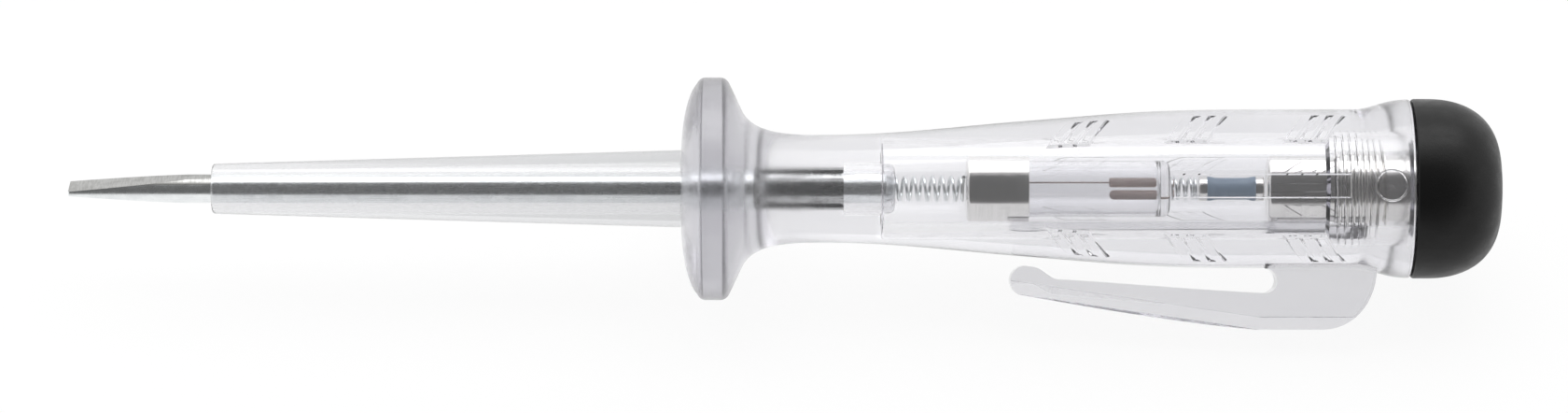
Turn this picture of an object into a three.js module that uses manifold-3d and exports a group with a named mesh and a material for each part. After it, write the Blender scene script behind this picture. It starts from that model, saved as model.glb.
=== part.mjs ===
// Voltage tester screwdriver: a flat blade in a clear sleeve, a clear handle with a guard and a pocket
// clip, a neon lamp and a resistor between contact springs, and a screw cap with a touch contact.
// Millimetres. The tool lies along X on the plane z = 0, blade tip towards -X, rolled onto its clip.

import * as THREE from 'three';
import { mergeVertices } from 'three/addons/utils/BufferGeometryUtils.js';
import Module from 'manifold-3d';

// Clearances
const SEAT_GAP = 0.3;
const RADIAL_GAP = 0.15;
const CAP_RUNNING_GAP = 0.15;

// Blade
const SHANK_DIAMETER = 3;
const BARE_TIP_LENGTH = 15;
const TIP_THICKNESS = 0.5;
const TIP_BEVEL_LENGTH = 14.5;
const TIP_TURN = THREE.MathUtils.degToRad(22);
const FLUTE_COUNT = 4;
const FLUTE_LENGTH = 10;
const FLUTE_WIDTH = 0.8;
const FLUTE_DEPTH = 0.35;
const STEM_SETBACK = 0.6;

// Blade sleeve
const SLEEVE_LENGTH = 48.9;
const SLEEVE_FRONT_DIAMETER = 5.25;
const SLEEVE_REAR_DIAMETER = 8.1;
const SLEEVE_AIR_GAP = 0.3;
const SLEEVE_EDGE_RADIUS = 0.4;

// Handle, outside
const HANDLE_LENGTH = 76.3;
const FRONT_FACE_DIAMETER = 8.6;
const GUARD_DIAMETER = 23.3;
const GUARD_DOME_LENGTH = 2.3;
const GUARD_RIM_LENGTH = 2.1;
const GUARD_EDGE_RADIUS = 0.35;
const GUARD_BACK_LENGTH = 9.6;
const GUARD_FLANK_LENGTH = 2.1;
const NECK_DIAMETER = 11.3;
const GRIP_DIAMETER = 16.65;
const COLLAR_DIAMETER = 18.7;
const COLLAR_LENGTH = 1.1;
const COLLAR_FLARE_LENGTH = 4.6;

// Grip pads
const PAD_LENGTH = 4.7;
const PAD_WIDTH = 4.5;
const PAD_SLANT = 2.4;
const PAD_HEIGHT = 0.25;
const PAD_SPACING = 12.3;
const PAD_ROW_LENGTH = 3;
const PAD_ROW_ANGLE = THREE.MathUtils.degToRad(50);
const PAD_ROW_FROM_REAR = 34.9;
const PAD_BAR_COUNT = 3;
const PAD_BAR_GAP = 0.35;

// Handle, inside
const BLADE_HOLD_LENGTH = 21;
const STEM_POCKET_LENGTH = 4;
const STEM_POCKET_GAP = 0.4;
const BOSS_HEIGHT = 1.4;
const BOSS_WALL = 0.7;

// Screw thread between the stud and the handle
const THREAD_DIAMETER = 8;
const THREAD_PITCH = 0.75;
const THREAD_DEPTH = 0.4;
const THREAD_LENGTH = 8.25;
const THREAD_CREST = 0.11;
const THREAD_BASE = 0.45;
const THREAD_RADIAL_GAP = 0.12;
const THREAD_FLANK_GAP = 0.09;
const THREAD_CHAMFER = 0.5;

// Contact stud, end cap and touch contact
const STUD_NOSE_LENGTH = 6.8;
const STUD_NOSE_CHAMFER = 0.4;
const STUD_HEX_ACROSS_CORNERS = 6.8;
const STUD_HEX_LENGTH = 6;
const CAP_LENGTH = 9.35;
const CAP_LIP = 0.05;
const CAP_SIDE_LENGTH = 1.75;
const CAP_RIM_WIDTH = 0.3;
const CONTACT_HEAD_DIAMETER = 5.6;
const CONTACT_HEAD_THICKNESS = 0.9;
const CONTACT_HEAD_CHAMFER = 0.3;
const CONTACT_STEM_DIAMETER = 2.4;
const CONTACT_STEM_LENGTH = 2.4;
const CONTACT_RECESS = 0.2;

// Lamp
const LAMP_LENGTH = 21.2;
const LAMP_CAP_LENGTH = 6.5;
const LAMP_CAP_WALL = 0.35;
const LAMP_CAP_FLOOR = 0.5;
const LAMP_CAP_EDGE_RADIUS = 0.3;
const GLASS_WALL = 0.5;
const GLASS_END = 0.8;
const ELECTRODE_DIAMETER = 1;
const ELECTRODE_LENGTH = 5.1;
const ELECTRODE_END_GAP = 0.3;
const ELECTRODE_SPACING = 1.3;
const LEAD_DIAMETER = 0.4;

// Resistor
const RESISTOR_LENGTH = 6.8;
const RESISTOR_DIAMETER = 2.6;
const RESISTOR_CAP_LENGTH = 0.9;
const RESISTOR_CAP_FLOOR = 0.3;
const RESISTOR_CAP_WALL = 0.25;

// Contact springs
const FRONT_SPRING_DIAMETER = 2.8;
const FRONT_SPRING_WIRE = 0.36;
const FRONT_SPRING_PITCH = 0.82;
const REAR_SPRING_LENGTH = 2.4;
const REAR_SPRING_DIAMETER = 2.5;
const REAR_SPRING_WIRE = 0.3;
const REAR_SPRING_PITCH = 0.62;
const SPRING_BEND_RADIUS = 0.45;
const CURL_STEPS = 8;
const WIRE_SIDES = 5;
const BEND_STEPS = 3;

// Pocket clip
const CLIP_WIDTH = 6;
const CLIP_GAP = 2.6;
const CLIP_REACH = 14.74;
const CLIP_LENGTH = 38.3;
const CLIP_ROOT_LENGTH = 10.4;
const CLIP_REAR_OFFSET = 3.6;
const CLIP_REAR_CURVE = 5.6;
const CLIP_REAR_FULLNESS = 0.8;
const CLIP_EDGE_CHAMFER = 1.3;
const CLIP_TIP_RADIUS = 1.57;
const CLIP_TIP_GAP = 0.95;
const CLIP_TIP_ROUND_END = THREE.MathUtils.degToRad(60);
const CLIP_COVE_RISE = 1.7;
const CLIP_COVE_LENGTH = 3.8;
const CLIP_FLEX_INSET = 1.8;

// Curves of the outside: each has two handles, as shares of the way along and of the way up it spans
const DOME_CURVE = [[0.04, 0.42], [0.41, 0.83]];
const GUARD_FLANK_DROP = 0.63;
const GUARD_BACK_CURVE = [[0.15, 0.76], [0.46, 1]];
const NECK_CURVE = [[0.38, 0], [0.59, 0.41]];
const SLOPE_FRONT = [0.34, 0.46];
const SLOPE_REAR = [0.53, 0.79];
const BELLY_CURVE = [[0.34, 0.86], [0.63, 1]];
const BELLY_REAR = [0.85, 1];
const FLARE_CURVE = [[0.5, 0], [0.5, 1]];
const CAP_CURVE = [[0.54, 0], [0.95, 0.31]];

// How the tool lies: turned about its axis until the clip reaches the surface
const REST_ROLL = THREE.MathUtils.degToRad(45);

// Facets
const ROUND_FACETS = 32;
const SMALL_FACETS = 20;
const THREAD_FACETS = 20;
const WIRE_FACETS = 8;
const HEX_SIDES = 6;
const THREAD_OVERRUN = 3;
const CURVE_STEPS = 7;
const WELD = 1e-4;
const PAST = 1;

// Places along the tool axis, counted from the blade tip
const SLEEVE_FRONT = BARE_TIP_LENGTH;
const SLEEVE_REAR = SLEEVE_FRONT + SLEEVE_LENGTH;
const HANDLE_FRONT = SLEEVE_REAR + SEAT_GAP;
const HANDLE_REAR = HANDLE_FRONT + HANDLE_LENGTH;
const CAP_FRONT = HANDLE_REAR + CAP_RUNNING_GAP;
const CAP_REAR = CAP_FRONT + CAP_LENGTH;
const BORE_FLOOR = HANDLE_FRONT + BLADE_HOLD_LENGTH;
const BOSS_REAR = BORE_FLOOR + BOSS_HEIGHT;
const STEM_POCKET_FRONT = BORE_FLOOR - STEM_POCKET_LENGTH;
const BLADE_REAR = BOSS_REAR - STEM_SETBACK;
const FLUTE_REAR = STEM_POCKET_FRONT;
const FLUTE_FRONT = FLUTE_REAR - FLUTE_LENGTH;
const THREAD_FRONT = HANDLE_REAR - THREAD_LENGTH;
const STUD_FRONT = THREAD_FRONT - STUD_NOSE_LENGTH;
const STUD_REAR = CAP_FRONT + STUD_HEX_LENGTH;
const RESISTOR_REAR = STUD_FRONT - SEAT_GAP;
const RESISTOR_FRONT = RESISTOR_REAR - RESISTOR_LENGTH;
const REAR_SPRING_REAR = RESISTOR_FRONT - SEAT_GAP;
const REAR_SPRING_FRONT = REAR_SPRING_REAR - REAR_SPRING_LENGTH;
const LAMP_REAR = REAR_SPRING_FRONT - SEAT_GAP;
const LAMP_FRONT = LAMP_REAR - LAMP_LENGTH;
const GLASS_FRONT = LAMP_FRONT + LAMP_CAP_FLOOR + SEAT_GAP;
const GLASS_REAR = LAMP_REAR;
const FRONT_SPRING_REAR = LAMP_FRONT - SEAT_GAP;
const FRONT_SPRING_FRONT = BLADE_REAR + SEAT_GAP;
const OVERALL_LENGTH = CAP_REAR;

// Radii that fit one another
const SHANK_RADIUS = SHANK_DIAMETER / 2;
const BLADE_HOLE_RADIUS = SHANK_RADIUS + RADIAL_GAP;
const STEM_POCKET_RADIUS = SHANK_RADIUS + STEM_POCKET_GAP;
const BOSS_RADIUS = STEM_POCKET_RADIUS + BOSS_WALL;
const THREAD_MAJOR = THREAD_DIAMETER / 2;
const THREAD_MINOR = THREAD_MAJOR - THREAD_DEPTH;
const BORE_RADIUS = THREAD_MINOR;
const STUD_NOSE_RADIUS = BORE_RADIUS - RADIAL_GAP;
const LAMP_CAP_RADIUS = BORE_RADIUS - RADIAL_GAP;
const RESISTOR_RADIUS = RESISTOR_DIAMETER / 2;
const GLASS_RADIUS = LAMP_CAP_RADIUS - LAMP_CAP_WALL - RADIAL_GAP;
const LEAD_HOLE_RADIUS = LEAD_DIAMETER / 2 + RADIAL_GAP;
const GRIP_RADIUS = GRIP_DIAMETER / 2;
const GUARD_RADIUS = GUARD_DIAMETER / 2;

const wasm = await Module();
wasm.setup();

// Joining and cutting

function signedVolume(points, triangles) {
  const [a, b, c] = [new THREE.Vector3(), new THREE.Vector3(), new THREE.Vector3()];
  let sum = 0;
  for (let i = 0; i < triangles.length; i += 3) {
    a.fromArray(points, 3 * triangles[i]);
    b.fromArray(points, 3 * triangles[i + 1]);
    c.fromArray(points, 3 * triangles[i + 2]);
    sum += a.dot(b.cross(c)) / 6;
  }
  return sum;
}

// A closed geometry as a solid, with shared corners welded and its faces turned outwards
function toSolid(geometry) {
  const bare = new THREE.BufferGeometry();
  bare.setAttribute('position', geometry.getAttribute('position'));
  bare.setIndex(geometry.getIndex());
  const welded = mergeVertices(bare, WELD);
  const points = welded.getAttribute('position').array;
  const corners = welded.getIndex().array;
  const triangles = [];
  for (let i = 0; i < corners.length; i += 3) {
    const [a, b, c] = corners.slice(i, i + 3);
    if (a !== b && b !== c && c !== a) triangles.push(a, b, c);
  }
  if (signedVolume(points, triangles) < 0) triangles.reverse();
  const mesh = new wasm.Mesh({
    numProp: 3,
    vertProperties: Float32Array.from(points),
    triVerts: Uint32Array.from(triangles),
  });
  return new wasm.Manifold(mesh);
}

function toGeometry(solid) {
  const { vertProperties, triVerts } = solid.getMesh();
  const geometry = new THREE.BufferGeometry();
  geometry.setAttribute('position', new THREE.BufferAttribute(vertProperties, 3));
  geometry.setIndex(new THREE.BufferAttribute(triVerts, 1));
  geometry.computeVertexNormals();
  return geometry;
}

// Basic shapes about the tool axis

// Turns an outline of (place along the axis, radius) about the tool axis
function revolve(outline, facets = ROUND_FACETS) {
  const points = outline.getPoints(CURVE_STEPS).map((p) => new THREE.Vector2(p.y, p.x));
  const geometry = new THREE.LatheGeometry(points, facets);
  geometry.rotateZ(-Math.PI / 2);
  return toSolid(geometry);
}

// A point between two others, at a share of the way along and a share of the way up
function between([frontX, frontR], [rearX, rearR], [along, up]) {
  return [THREE.MathUtils.lerp(frontX, rearX, along), THREE.MathUtils.lerp(frontR, rearR, up)];
}

// Carries an outline from one point to another in a curve with two handles
function curveTo(outline, from, to, [near, far]) {
  outline.bezierCurveTo(...between(from, to, near), ...between(from, to, far), ...to);
}

// A path through plain points; each one is [place along the axis, radius]
function straightOutline(points) {
  return new THREE.Path(points.map(([x, r]) => new THREE.Vector2(x, r)));
}

function cylinder(front, rear, radius, facets = SMALL_FACETS) {
  const outline = straightOutline([[front, 0], [front, radius], [rear, radius], [rear, 0]]);
  return revolve(outline, facets);
}

// A flat shape in the plane of the clip (x along the tool, y away from the clip), given a width
function plate(shape, width) {
  const options = { depth: width, bevelEnabled: false, curveSegments: CURVE_STEPS };
  const geometry = new THREE.ExtrudeGeometry(shape, options);
  geometry.translate(0, 0, -width / 2);
  geometry.rotateX(Math.PI / 2);
  return toSolid(geometry);
}

// A box along the tool axis that stands out from it at a given angle
function radialBar(front, rear, inner, outer, width, angle) {
  const geometry = new THREE.BoxGeometry(rear - front, width, outer - inner);
  geometry.translate((front + rear) / 2, 0, (inner + outer) / 2);
  geometry.rotateX(angle);
  return toSolid(geometry);
}

// Blade

function fluteAngles() {
  return Array.from({ length: FLUTE_COUNT }, (_, i) => (2 * Math.PI * i) / FLUTE_COUNT);
}

// The wedge ground away on one side of the tip; it leaves a flat that rises to the full shank
function tipWedge(turn) {
  const shape = new THREE.Shape();
  const slope = (SHANK_RADIUS - TIP_THICKNESS / 2) / TIP_BEVEL_LENGTH;
  const reach = TIP_BEVEL_LENGTH + PAST;
  shape.moveTo(-PAST, TIP_THICKNESS / 2 - slope * PAST);
  shape.lineTo(reach, SHANK_RADIUS + slope * PAST);
  shape.lineTo(reach, SHANK_DIAMETER);
  shape.lineTo(-PAST, SHANK_DIAMETER);
  const options = { depth: 2 * SHANK_DIAMETER, bevelEnabled: false };
  const geometry = new THREE.ExtrudeGeometry(shape, options);
  geometry.translate(0, 0, -SHANK_DIAMETER);
  geometry.rotateX(Math.PI / 2 + turn);
  return toSolid(geometry);
}

function buildBlade() {
  let blade = cylinder(0, BLADE_REAR, SHANK_RADIUS, ROUND_FACETS);
  blade = blade.subtract(tipWedge(TIP_TURN)).subtract(tipWedge(TIP_TURN + Math.PI));
  const floor = SHANK_RADIUS - FLUTE_DEPTH;
  for (const angle of fluteAngles()) {
    blade = blade.subtract(radialBar(FLUTE_FRONT, FLUTE_REAR, floor, SHANK_DIAMETER, FLUTE_WIDTH, angle));
  }
  return blade;
}

// Blade sleeve

function buildSleeve() {
  const front = SLEEVE_FRONT_DIAMETER / 2;
  const rear = SLEEVE_REAR_DIAMETER / 2;
  const bore = SHANK_RADIUS + SLEEVE_AIR_GAP;
  const edge = Math.min(SLEEVE_EDGE_RADIUS, (front - bore) / 2);
  const outline = new THREE.Path();
  outline.moveTo(SLEEVE_FRONT, bore);
  outline.lineTo(SLEEVE_FRONT, front - edge);
  outline.quadraticCurveTo(SLEEVE_FRONT, front, SLEEVE_FRONT + edge, front);
  outline.lineTo(SLEEVE_REAR, rear);
  outline.lineTo(SLEEVE_REAR, bore);
  outline.closePath();
  return revolve(outline);
}

// Handle

// Outside of the handle, grown by an amount, from the guard's front face to the collar
function handleOutline(grown) {
  const guard = GUARD_RADIUS + grown;
  const neck = NECK_DIAMETER / 2 + grown;
  const grip = GRIP_RADIUS + grown;
  const collar = COLLAR_DIAMETER / 2 + grown;
  const face = FRONT_FACE_DIAMETER / 2;
  const rimFront = HANDLE_FRONT + GUARD_DOME_LENGTH;
  const rimRear = rimFront + GUARD_RIM_LENGTH;
  const neckFront = rimRear + GUARD_BACK_LENGTH;
  const flareRear = HANDLE_REAR - COLLAR_LENGTH;
  const flareFront = flareRear - COLLAR_FLARE_LENGTH;
  const flank = [rimRear + GUARD_FLANK_LENGTH, THREE.MathUtils.lerp(guard, neck, GUARD_FLANK_DROP)];
  const gripSpan = [[neckFront, neck], [flareFront, grip]];
  const slopeFront = between(...gripSpan, SLOPE_FRONT);
  const slopeRear = between(...gripSpan, SLOPE_REAR);
  const outline = new THREE.Path();
  outline.moveTo(HANDLE_FRONT, 0);
  outline.lineTo(HANDLE_FRONT, face);
  curveTo(outline, [HANDLE_FRONT, face], [rimFront, guard], DOME_CURVE);
  outline.lineTo(rimRear - GUARD_EDGE_RADIUS, guard);
  outline.quadraticCurveTo(rimRear, guard, rimRear + GUARD_EDGE_RADIUS / 2, guard - GUARD_EDGE_RADIUS);
  outline.lineTo(...flank);
  curveTo(outline, flank, [neckFront, neck], GUARD_BACK_CURVE);
  curveTo(outline, [neckFront, neck], slopeFront, NECK_CURVE);
  outline.lineTo(...slopeRear);
  curveTo(outline, slopeRear, between(...gripSpan, BELLY_REAR), BELLY_CURVE);
  outline.lineTo(flareFront, grip);
  curveTo(outline, [flareFront, grip], [flareRear, collar], FLARE_CURVE);
  outline.lineTo(HANDLE_REAR, collar);
  outline.lineTo(HANDLE_REAR, 0);
  return outline;
}

// Radius of the handle's outside at a place along the axis
function handleRadiusAt(x) {
  const points = handleOutline(0).getPoints(CURVE_STEPS);
  const next = points.findIndex((point) => point.x > x);
  const [before, after] = [points[next - 1], points[next]];
  return THREE.MathUtils.mapLinear(x, before.x, after.x, before.y, after.y);
}

// One slanted bar of a grip pad, cut to the shape of the grip and standing proud of it
function padBar(skin, x, length, angle) {
  const lean = (-Math.sign(Math.sin(angle) * Math.cos(angle)) * PAD_SLANT) / 2;
  const [halfLength, halfWidth] = [length / 2, PAD_WIDTH / 2];
  const shape = new THREE.Shape();
  shape.moveTo(-halfLength - lean, -halfWidth);
  shape.lineTo(halfLength - lean, -halfWidth);
  shape.lineTo(halfLength + lean, halfWidth);
  shape.lineTo(-halfLength + lean, halfWidth);
  const geometry = new THREE.ExtrudeGeometry(shape, { depth: GRIP_RADIUS, bevelEnabled: false });
  geometry.translate(x, 0, GRIP_RADIUS / 2);
  geometry.rotateX(angle - Math.PI / 2);
  return toSolid(geometry).intersect(skin);
}

// The rows of pads on both sides of the grip; each pad is a group of equal bars
function gripPadBars() {
  const skin = revolve(handleOutline(PAD_HEIGHT));
  const rows = [PAD_ROW_ANGLE, Math.PI - PAD_ROW_ANGLE, Math.PI + PAD_ROW_ANGLE, -PAD_ROW_ANGLE];
  const pitch = (PAD_LENGTH + PAD_BAR_GAP) / PAD_BAR_COUNT;
  const bars = [];
  for (const angle of rows) {
    for (let pad = 0; pad < PAD_ROW_LENGTH; pad += 1) {
      const middle = HANDLE_REAR - PAD_ROW_FROM_REAR + pad * PAD_SPACING;
      for (let bar = 0; bar < PAD_BAR_COUNT; bar += 1) {
        const x = middle + (bar - (PAD_BAR_COUNT - 1) / 2) * pitch;
        bars.push(padBar(skin, x, pitch - PAD_BAR_GAP, angle));
      }
    }
  }
  return bars;
}

// The space inside the handle for the blade, the boss round its stem and the lamp
function handleBore() {
  const outline = new THREE.Path();
  outline.moveTo(HANDLE_FRONT - PAST, 0);
  outline.lineTo(HANDLE_FRONT - PAST, BLADE_HOLE_RADIUS);
  outline.lineTo(STEM_POCKET_FRONT, BLADE_HOLE_RADIUS);
  outline.lineTo(STEM_POCKET_FRONT, STEM_POCKET_RADIUS);
  outline.lineTo(BOSS_REAR, STEM_POCKET_RADIUS);
  outline.quadraticCurveTo(BOSS_REAR, BOSS_RADIUS, BOSS_REAR - BOSS_WALL, BOSS_RADIUS);
  outline.lineTo(BORE_FLOOR, BOSS_RADIUS);
  outline.lineTo(BORE_FLOOR, BORE_RADIUS);
  outline.lineTo(HANDLE_REAR + PAST, BORE_RADIUS);
  outline.lineTo(HANDLE_REAR + PAST, 0);
  let bore = revolve(outline);
  const splineFloor = SHANK_RADIUS - FLUTE_DEPTH + RADIAL_GAP;
  const splineWidth = FLUTE_WIDTH - 2 * RADIAL_GAP;
  const splineFront = FLUTE_FRONT + RADIAL_GAP;
  const splineRear = FLUTE_REAR - RADIAL_GAP;
  for (const angle of fluteAngles()) {
    const spline = radialBar(splineFront, splineRear, splineFloor, SHANK_DIAMETER, splineWidth, angle);
    bore = bore.subtract(spline);
  }
  return bore;
}

function buildHandle() {
  let handle = revolve(handleOutline(0));
  for (const bar of gripPadBars()) handle = handle.add(bar);
  handle = handle.add(clipRoot());
  const tapTrim = cylinder(THREAD_FRONT - THREAD_PITCH, HANDLE_REAR + PAST, THREAD_DIAMETER, ROUND_FACETS);
  const tap = screwThread(THREAD_RADIAL_GAP, THREAD_FLANK_GAP).intersect(tapTrim);
  return handle.subtract(handleBore()).subtract(tap);
}

// Screw thread

// A threaded rod that runs past both ends of the thread, enlarged by a radial and a flank gap
function screwThread(radialGap, flankGap) {
  const minor = THREAD_MINOR + radialGap;
  const major = THREAD_MAJOR + radialGap;
  const crest = (THREAD_CREST + 2 * flankGap) / THREAD_PITCH;
  const base = (THREAD_BASE + 2 * flankGap) / THREAD_PITCH;
  const profile = [[0, minor], [0.5 - base / 2, minor], [0.5 - crest / 2, major]];
  profile.push([0.5 + crest / 2, major], [0.5 + base / 2, minor]);
  const turns = Math.ceil(THREAD_LENGTH / THREAD_PITCH) + 2 * THREAD_OVERRUN;
  const first = THREAD_FRONT - THREAD_OVERRUN * THREAD_PITCH;
  const steps = turns * THREAD_FACETS;
  const points = [];
  const corner = [];
  for (let i = 0; i <= steps + THREAD_FACETS; i += 1) {
    const angle = (2 * Math.PI * i) / THREAD_FACETS;
    corner.push([]);
    for (let k = 0; k < profile.length && (i <= steps || k === 0); k += 1) {
      const [share, radius] = profile[k];
      const x = first + THREAD_PITCH * (i / THREAD_FACETS + share);
      corner[i].push(points.length / 3);
      points.push(x, radius * Math.cos(angle), radius * Math.sin(angle));
    }
  }
  // The last corner of a profile is the first one of the next turn
  const at = (i, k) => (k < profile.length ? corner[i][k] : corner[i + THREAD_FACETS][0]);
  const triangles = [];
  for (let i = 0; i < steps; i += 1) {
    for (let k = 0; k < profile.length; k += 1) {
      triangles.push(at(i, k), at(i + 1, k), at(i + 1, k + 1));
      triangles.push(at(i, k), at(i + 1, k + 1), at(i, k + 1));
    }
  }
  // Each end is a fan from a point on the axis to the last turn and its profile
  const fan = (start, place, reversed) => {
    const tip = points.length / 3;
    points.push(place, 0, 0);
    const rim = [];
    for (let i = 0; i <= THREAD_FACETS; i += 1) rim.push(corner[start + i][0]);
    for (let k = profile.length - 1; k > 0; k -= 1) rim.push(corner[start][k]);
    rim.forEach((from, i) => {
      const to = rim[(i + 1) % rim.length];
      if (reversed) triangles.push(tip, from, to);
      else triangles.push(tip, to, from);
    });
  };
  fan(0, first - THREAD_PITCH, false);
  fan(steps, first + THREAD_PITCH * (turns + 2), true);
  const geometry = new THREE.BufferGeometry();
  geometry.setAttribute('position', new THREE.Float32BufferAttribute(points, 3));
  geometry.setIndex(triangles);
  return toSolid(geometry);
}

// Contact stud, end cap and touch contact

// A hexagonal bar along the tool axis
function hexBar(front, rear, acrossCorners) {
  return cylinder(front, rear, acrossCorners / 2, HEX_SIDES);
}

function buildStud() {
  const trimFront = THREAD_FRONT + SEAT_GAP;
  const trimRear = HANDLE_REAR;
  const outer = THREAD_MAJOR + RADIAL_GAP;
  const inner = outer - THREAD_CHAMFER;
  const trim = revolve(straightOutline([
    [trimFront, 0],
    [trimFront, inner],
    [trimFront + THREAD_CHAMFER, outer],
    [trimRear - THREAD_CHAMFER, outer],
    [trimRear, inner],
    [trimRear, 0],
  ]), THREAD_FACETS);
  const nose = revolve(straightOutline([
    [STUD_FRONT, 0],
    [STUD_FRONT, STUD_NOSE_RADIUS - STUD_NOSE_CHAMFER],
    [STUD_FRONT + STUD_NOSE_CHAMFER, STUD_NOSE_RADIUS],
    [trimFront + PAST, STUD_NOSE_RADIUS],
    [trimFront + PAST, 0],
  ]), ROUND_FACETS);
  const hex = hexBar(trimRear - PAST, STUD_REAR, STUD_HEX_ACROSS_CORNERS);
  const socketRadius = CONTACT_STEM_DIAMETER / 2 + RADIAL_GAP;
  const socketFloor = CAP_REAR - CONTACT_RECESS - CONTACT_HEAD_THICKNESS - CONTACT_STEM_LENGTH - SEAT_GAP;
  const socket = cylinder(socketFloor, STUD_REAR + PAST, socketRadius);
  return screwThread(0, 0).intersect(trim).add(nose).add(hex).subtract(socket);
}

function buildEndCap() {
  const radius = COLLAR_DIAMETER / 2 + CAP_LIP;
  const seatRadius = CONTACT_HEAD_DIAMETER / 2 + RADIAL_GAP;
  const side = [CAP_FRONT + CAP_SIDE_LENGTH, radius];
  const outline = new THREE.Path();
  outline.moveTo(CAP_FRONT, 0);
  outline.lineTo(CAP_FRONT, radius);
  outline.lineTo(...side);
  curveTo(outline, side, [CAP_REAR, seatRadius + CAP_RIM_WIDTH], CAP_CURVE);
  outline.lineTo(CAP_REAR, 0);
  const seatX = CAP_REAR - CONTACT_RECESS - CONTACT_HEAD_THICKNESS - SEAT_GAP;
  const seat = cylinder(seatX, CAP_REAR + PAST, seatRadius);
  const hexGap = (2 * RADIAL_GAP) / Math.cos(Math.PI / HEX_SIDES);
  const hexHole = hexBar(CAP_FRONT - PAST, STUD_REAR + SEAT_GAP, STUD_HEX_ACROSS_CORNERS + hexGap);
  const stemHole = cylinder(STUD_REAR, CAP_REAR, CONTACT_STEM_DIAMETER / 2 + RADIAL_GAP);
  return revolve(outline).subtract(seat).subtract(hexHole).subtract(stemHole);
}

function buildTouchContact() {
  const face = CAP_REAR - CONTACT_RECESS;
  const under = face - CONTACT_HEAD_THICKNESS;
  const head = CONTACT_HEAD_DIAMETER / 2;
  const stem = CONTACT_STEM_DIAMETER / 2;
  return revolve(straightOutline([
    [under - CONTACT_STEM_LENGTH, 0],
    [under - CONTACT_STEM_LENGTH, stem],
    [under, stem],
    [under, head],
    [face - CONTACT_HEAD_CHAMFER, head],
    [face, head - CONTACT_HEAD_CHAMFER],
    [face, 0],
  ]), SMALL_FACETS);
}

// Lamp

// The metal cup over the front end of the lamp
function buildLampCap() {
  const edge = LAMP_CAP_EDGE_RADIUS;
  const mouth = LAMP_CAP_RADIUS - LAMP_CAP_WALL;
  return revolve(straightOutline([
    [LAMP_FRONT, 0],
    [LAMP_FRONT, LAMP_CAP_RADIUS - edge],
    [LAMP_FRONT + edge, LAMP_CAP_RADIUS],
    [LAMP_FRONT + LAMP_CAP_LENGTH, LAMP_CAP_RADIUS],
    [LAMP_FRONT + LAMP_CAP_LENGTH, mouth],
    [LAMP_FRONT + LAMP_CAP_FLOOR, mouth],
    [LAMP_FRONT + LAMP_CAP_FLOOR, 0],
  ]), SMALL_FACETS);
}

function buildLampGlass() {
  const inner = GLASS_RADIUS - GLASS_WALL;
  const tube = revolve(straightOutline([
    [GLASS_FRONT, 0],
    [GLASS_FRONT, GLASS_RADIUS],
    [GLASS_REAR, GLASS_RADIUS],
    [GLASS_REAR, 0],
  ]), SMALL_FACETS);
  const hollowFront = GLASS_FRONT + GLASS_END;
  const hollowRear = GLASS_REAR - GLASS_END;
  const hollow = cylinder(hollowFront, hollowRear, inner);
  const halfSpacing = ELECTRODE_SPACING / 2;
  const upperHole = cylinder(GLASS_FRONT - PAST, hollowFront + PAST, LEAD_HOLE_RADIUS, WIRE_FACETS);
  const lowerHole = cylinder(hollowRear - PAST, GLASS_REAR + PAST, LEAD_HOLE_RADIUS, WIRE_FACETS);
  return tube
    .subtract(hollow)
    .subtract(upperHole.translate([0, 0, halfSpacing]))
    .subtract(lowerHole.translate([0, 0, -halfSpacing]));
}

// An electrode rod in the rear of the lamp and its lead to the glass's end at leadEnd
function electrode(leadEnd, side) {
  const middle = GLASS_REAR - GLASS_END - ELECTRODE_END_GAP - ELECTRODE_LENGTH / 2;
  const towardsLead = Math.sign(leadEnd - middle);
  const near = middle + (towardsLead * ELECTRODE_LENGTH) / 2;
  const far = middle - (towardsLead * ELECTRODE_LENGTH) / 2;
  const rod = ELECTRODE_DIAMETER / 2;
  const lead = LEAD_DIAMETER / 2;
  const outline = straightOutline([
    [far, 0],
    [far, rod],
    [near, rod],
    [near, lead],
    [leadEnd, lead],
    [leadEnd, 0],
  ]);
  return revolve(outline, WIRE_FACETS).translate([0, 0, (side * ELECTRODE_SPACING) / 2]);
}

// Resistor

function buildResistorBody() {
  const plug = RESISTOR_RADIUS - RESISTOR_CAP_WALL - RADIAL_GAP;
  const inset = RESISTOR_CAP_FLOOR + SEAT_GAP;
  const collar = RESISTOR_CAP_LENGTH + SEAT_GAP;
  return revolve(straightOutline([
    [RESISTOR_FRONT + inset, 0],
    [RESISTOR_FRONT + inset, plug],
    [RESISTOR_FRONT + collar, plug],
    [RESISTOR_FRONT + collar, RESISTOR_RADIUS],
    [RESISTOR_REAR - collar, RESISTOR_RADIUS],
    [RESISTOR_REAR - collar, plug],
    [RESISTOR_REAR - inset, plug],
    [RESISTOR_REAR - inset, 0],
  ]), SMALL_FACETS);
}

// A metal end of the resistor; facing is 1 where its mouth looks to the rear
function resistorCap(floorFace, facing) {
  const at = (x) => floorFace + facing * x;
  const mouth = RESISTOR_RADIUS - RESISTOR_CAP_WALL;
  return revolve(straightOutline([
    [at(0), 0],
    [at(0), RESISTOR_RADIUS],
    [at(RESISTOR_CAP_LENGTH), RESISTOR_RADIUS],
    [at(RESISTOR_CAP_LENGTH), mouth],
    [at(RESISTOR_CAP_FLOOR), mouth],
    [at(RESISTOR_CAP_FLOOR), 0],
  ]), SMALL_FACETS);
}

// Contact springs

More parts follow.
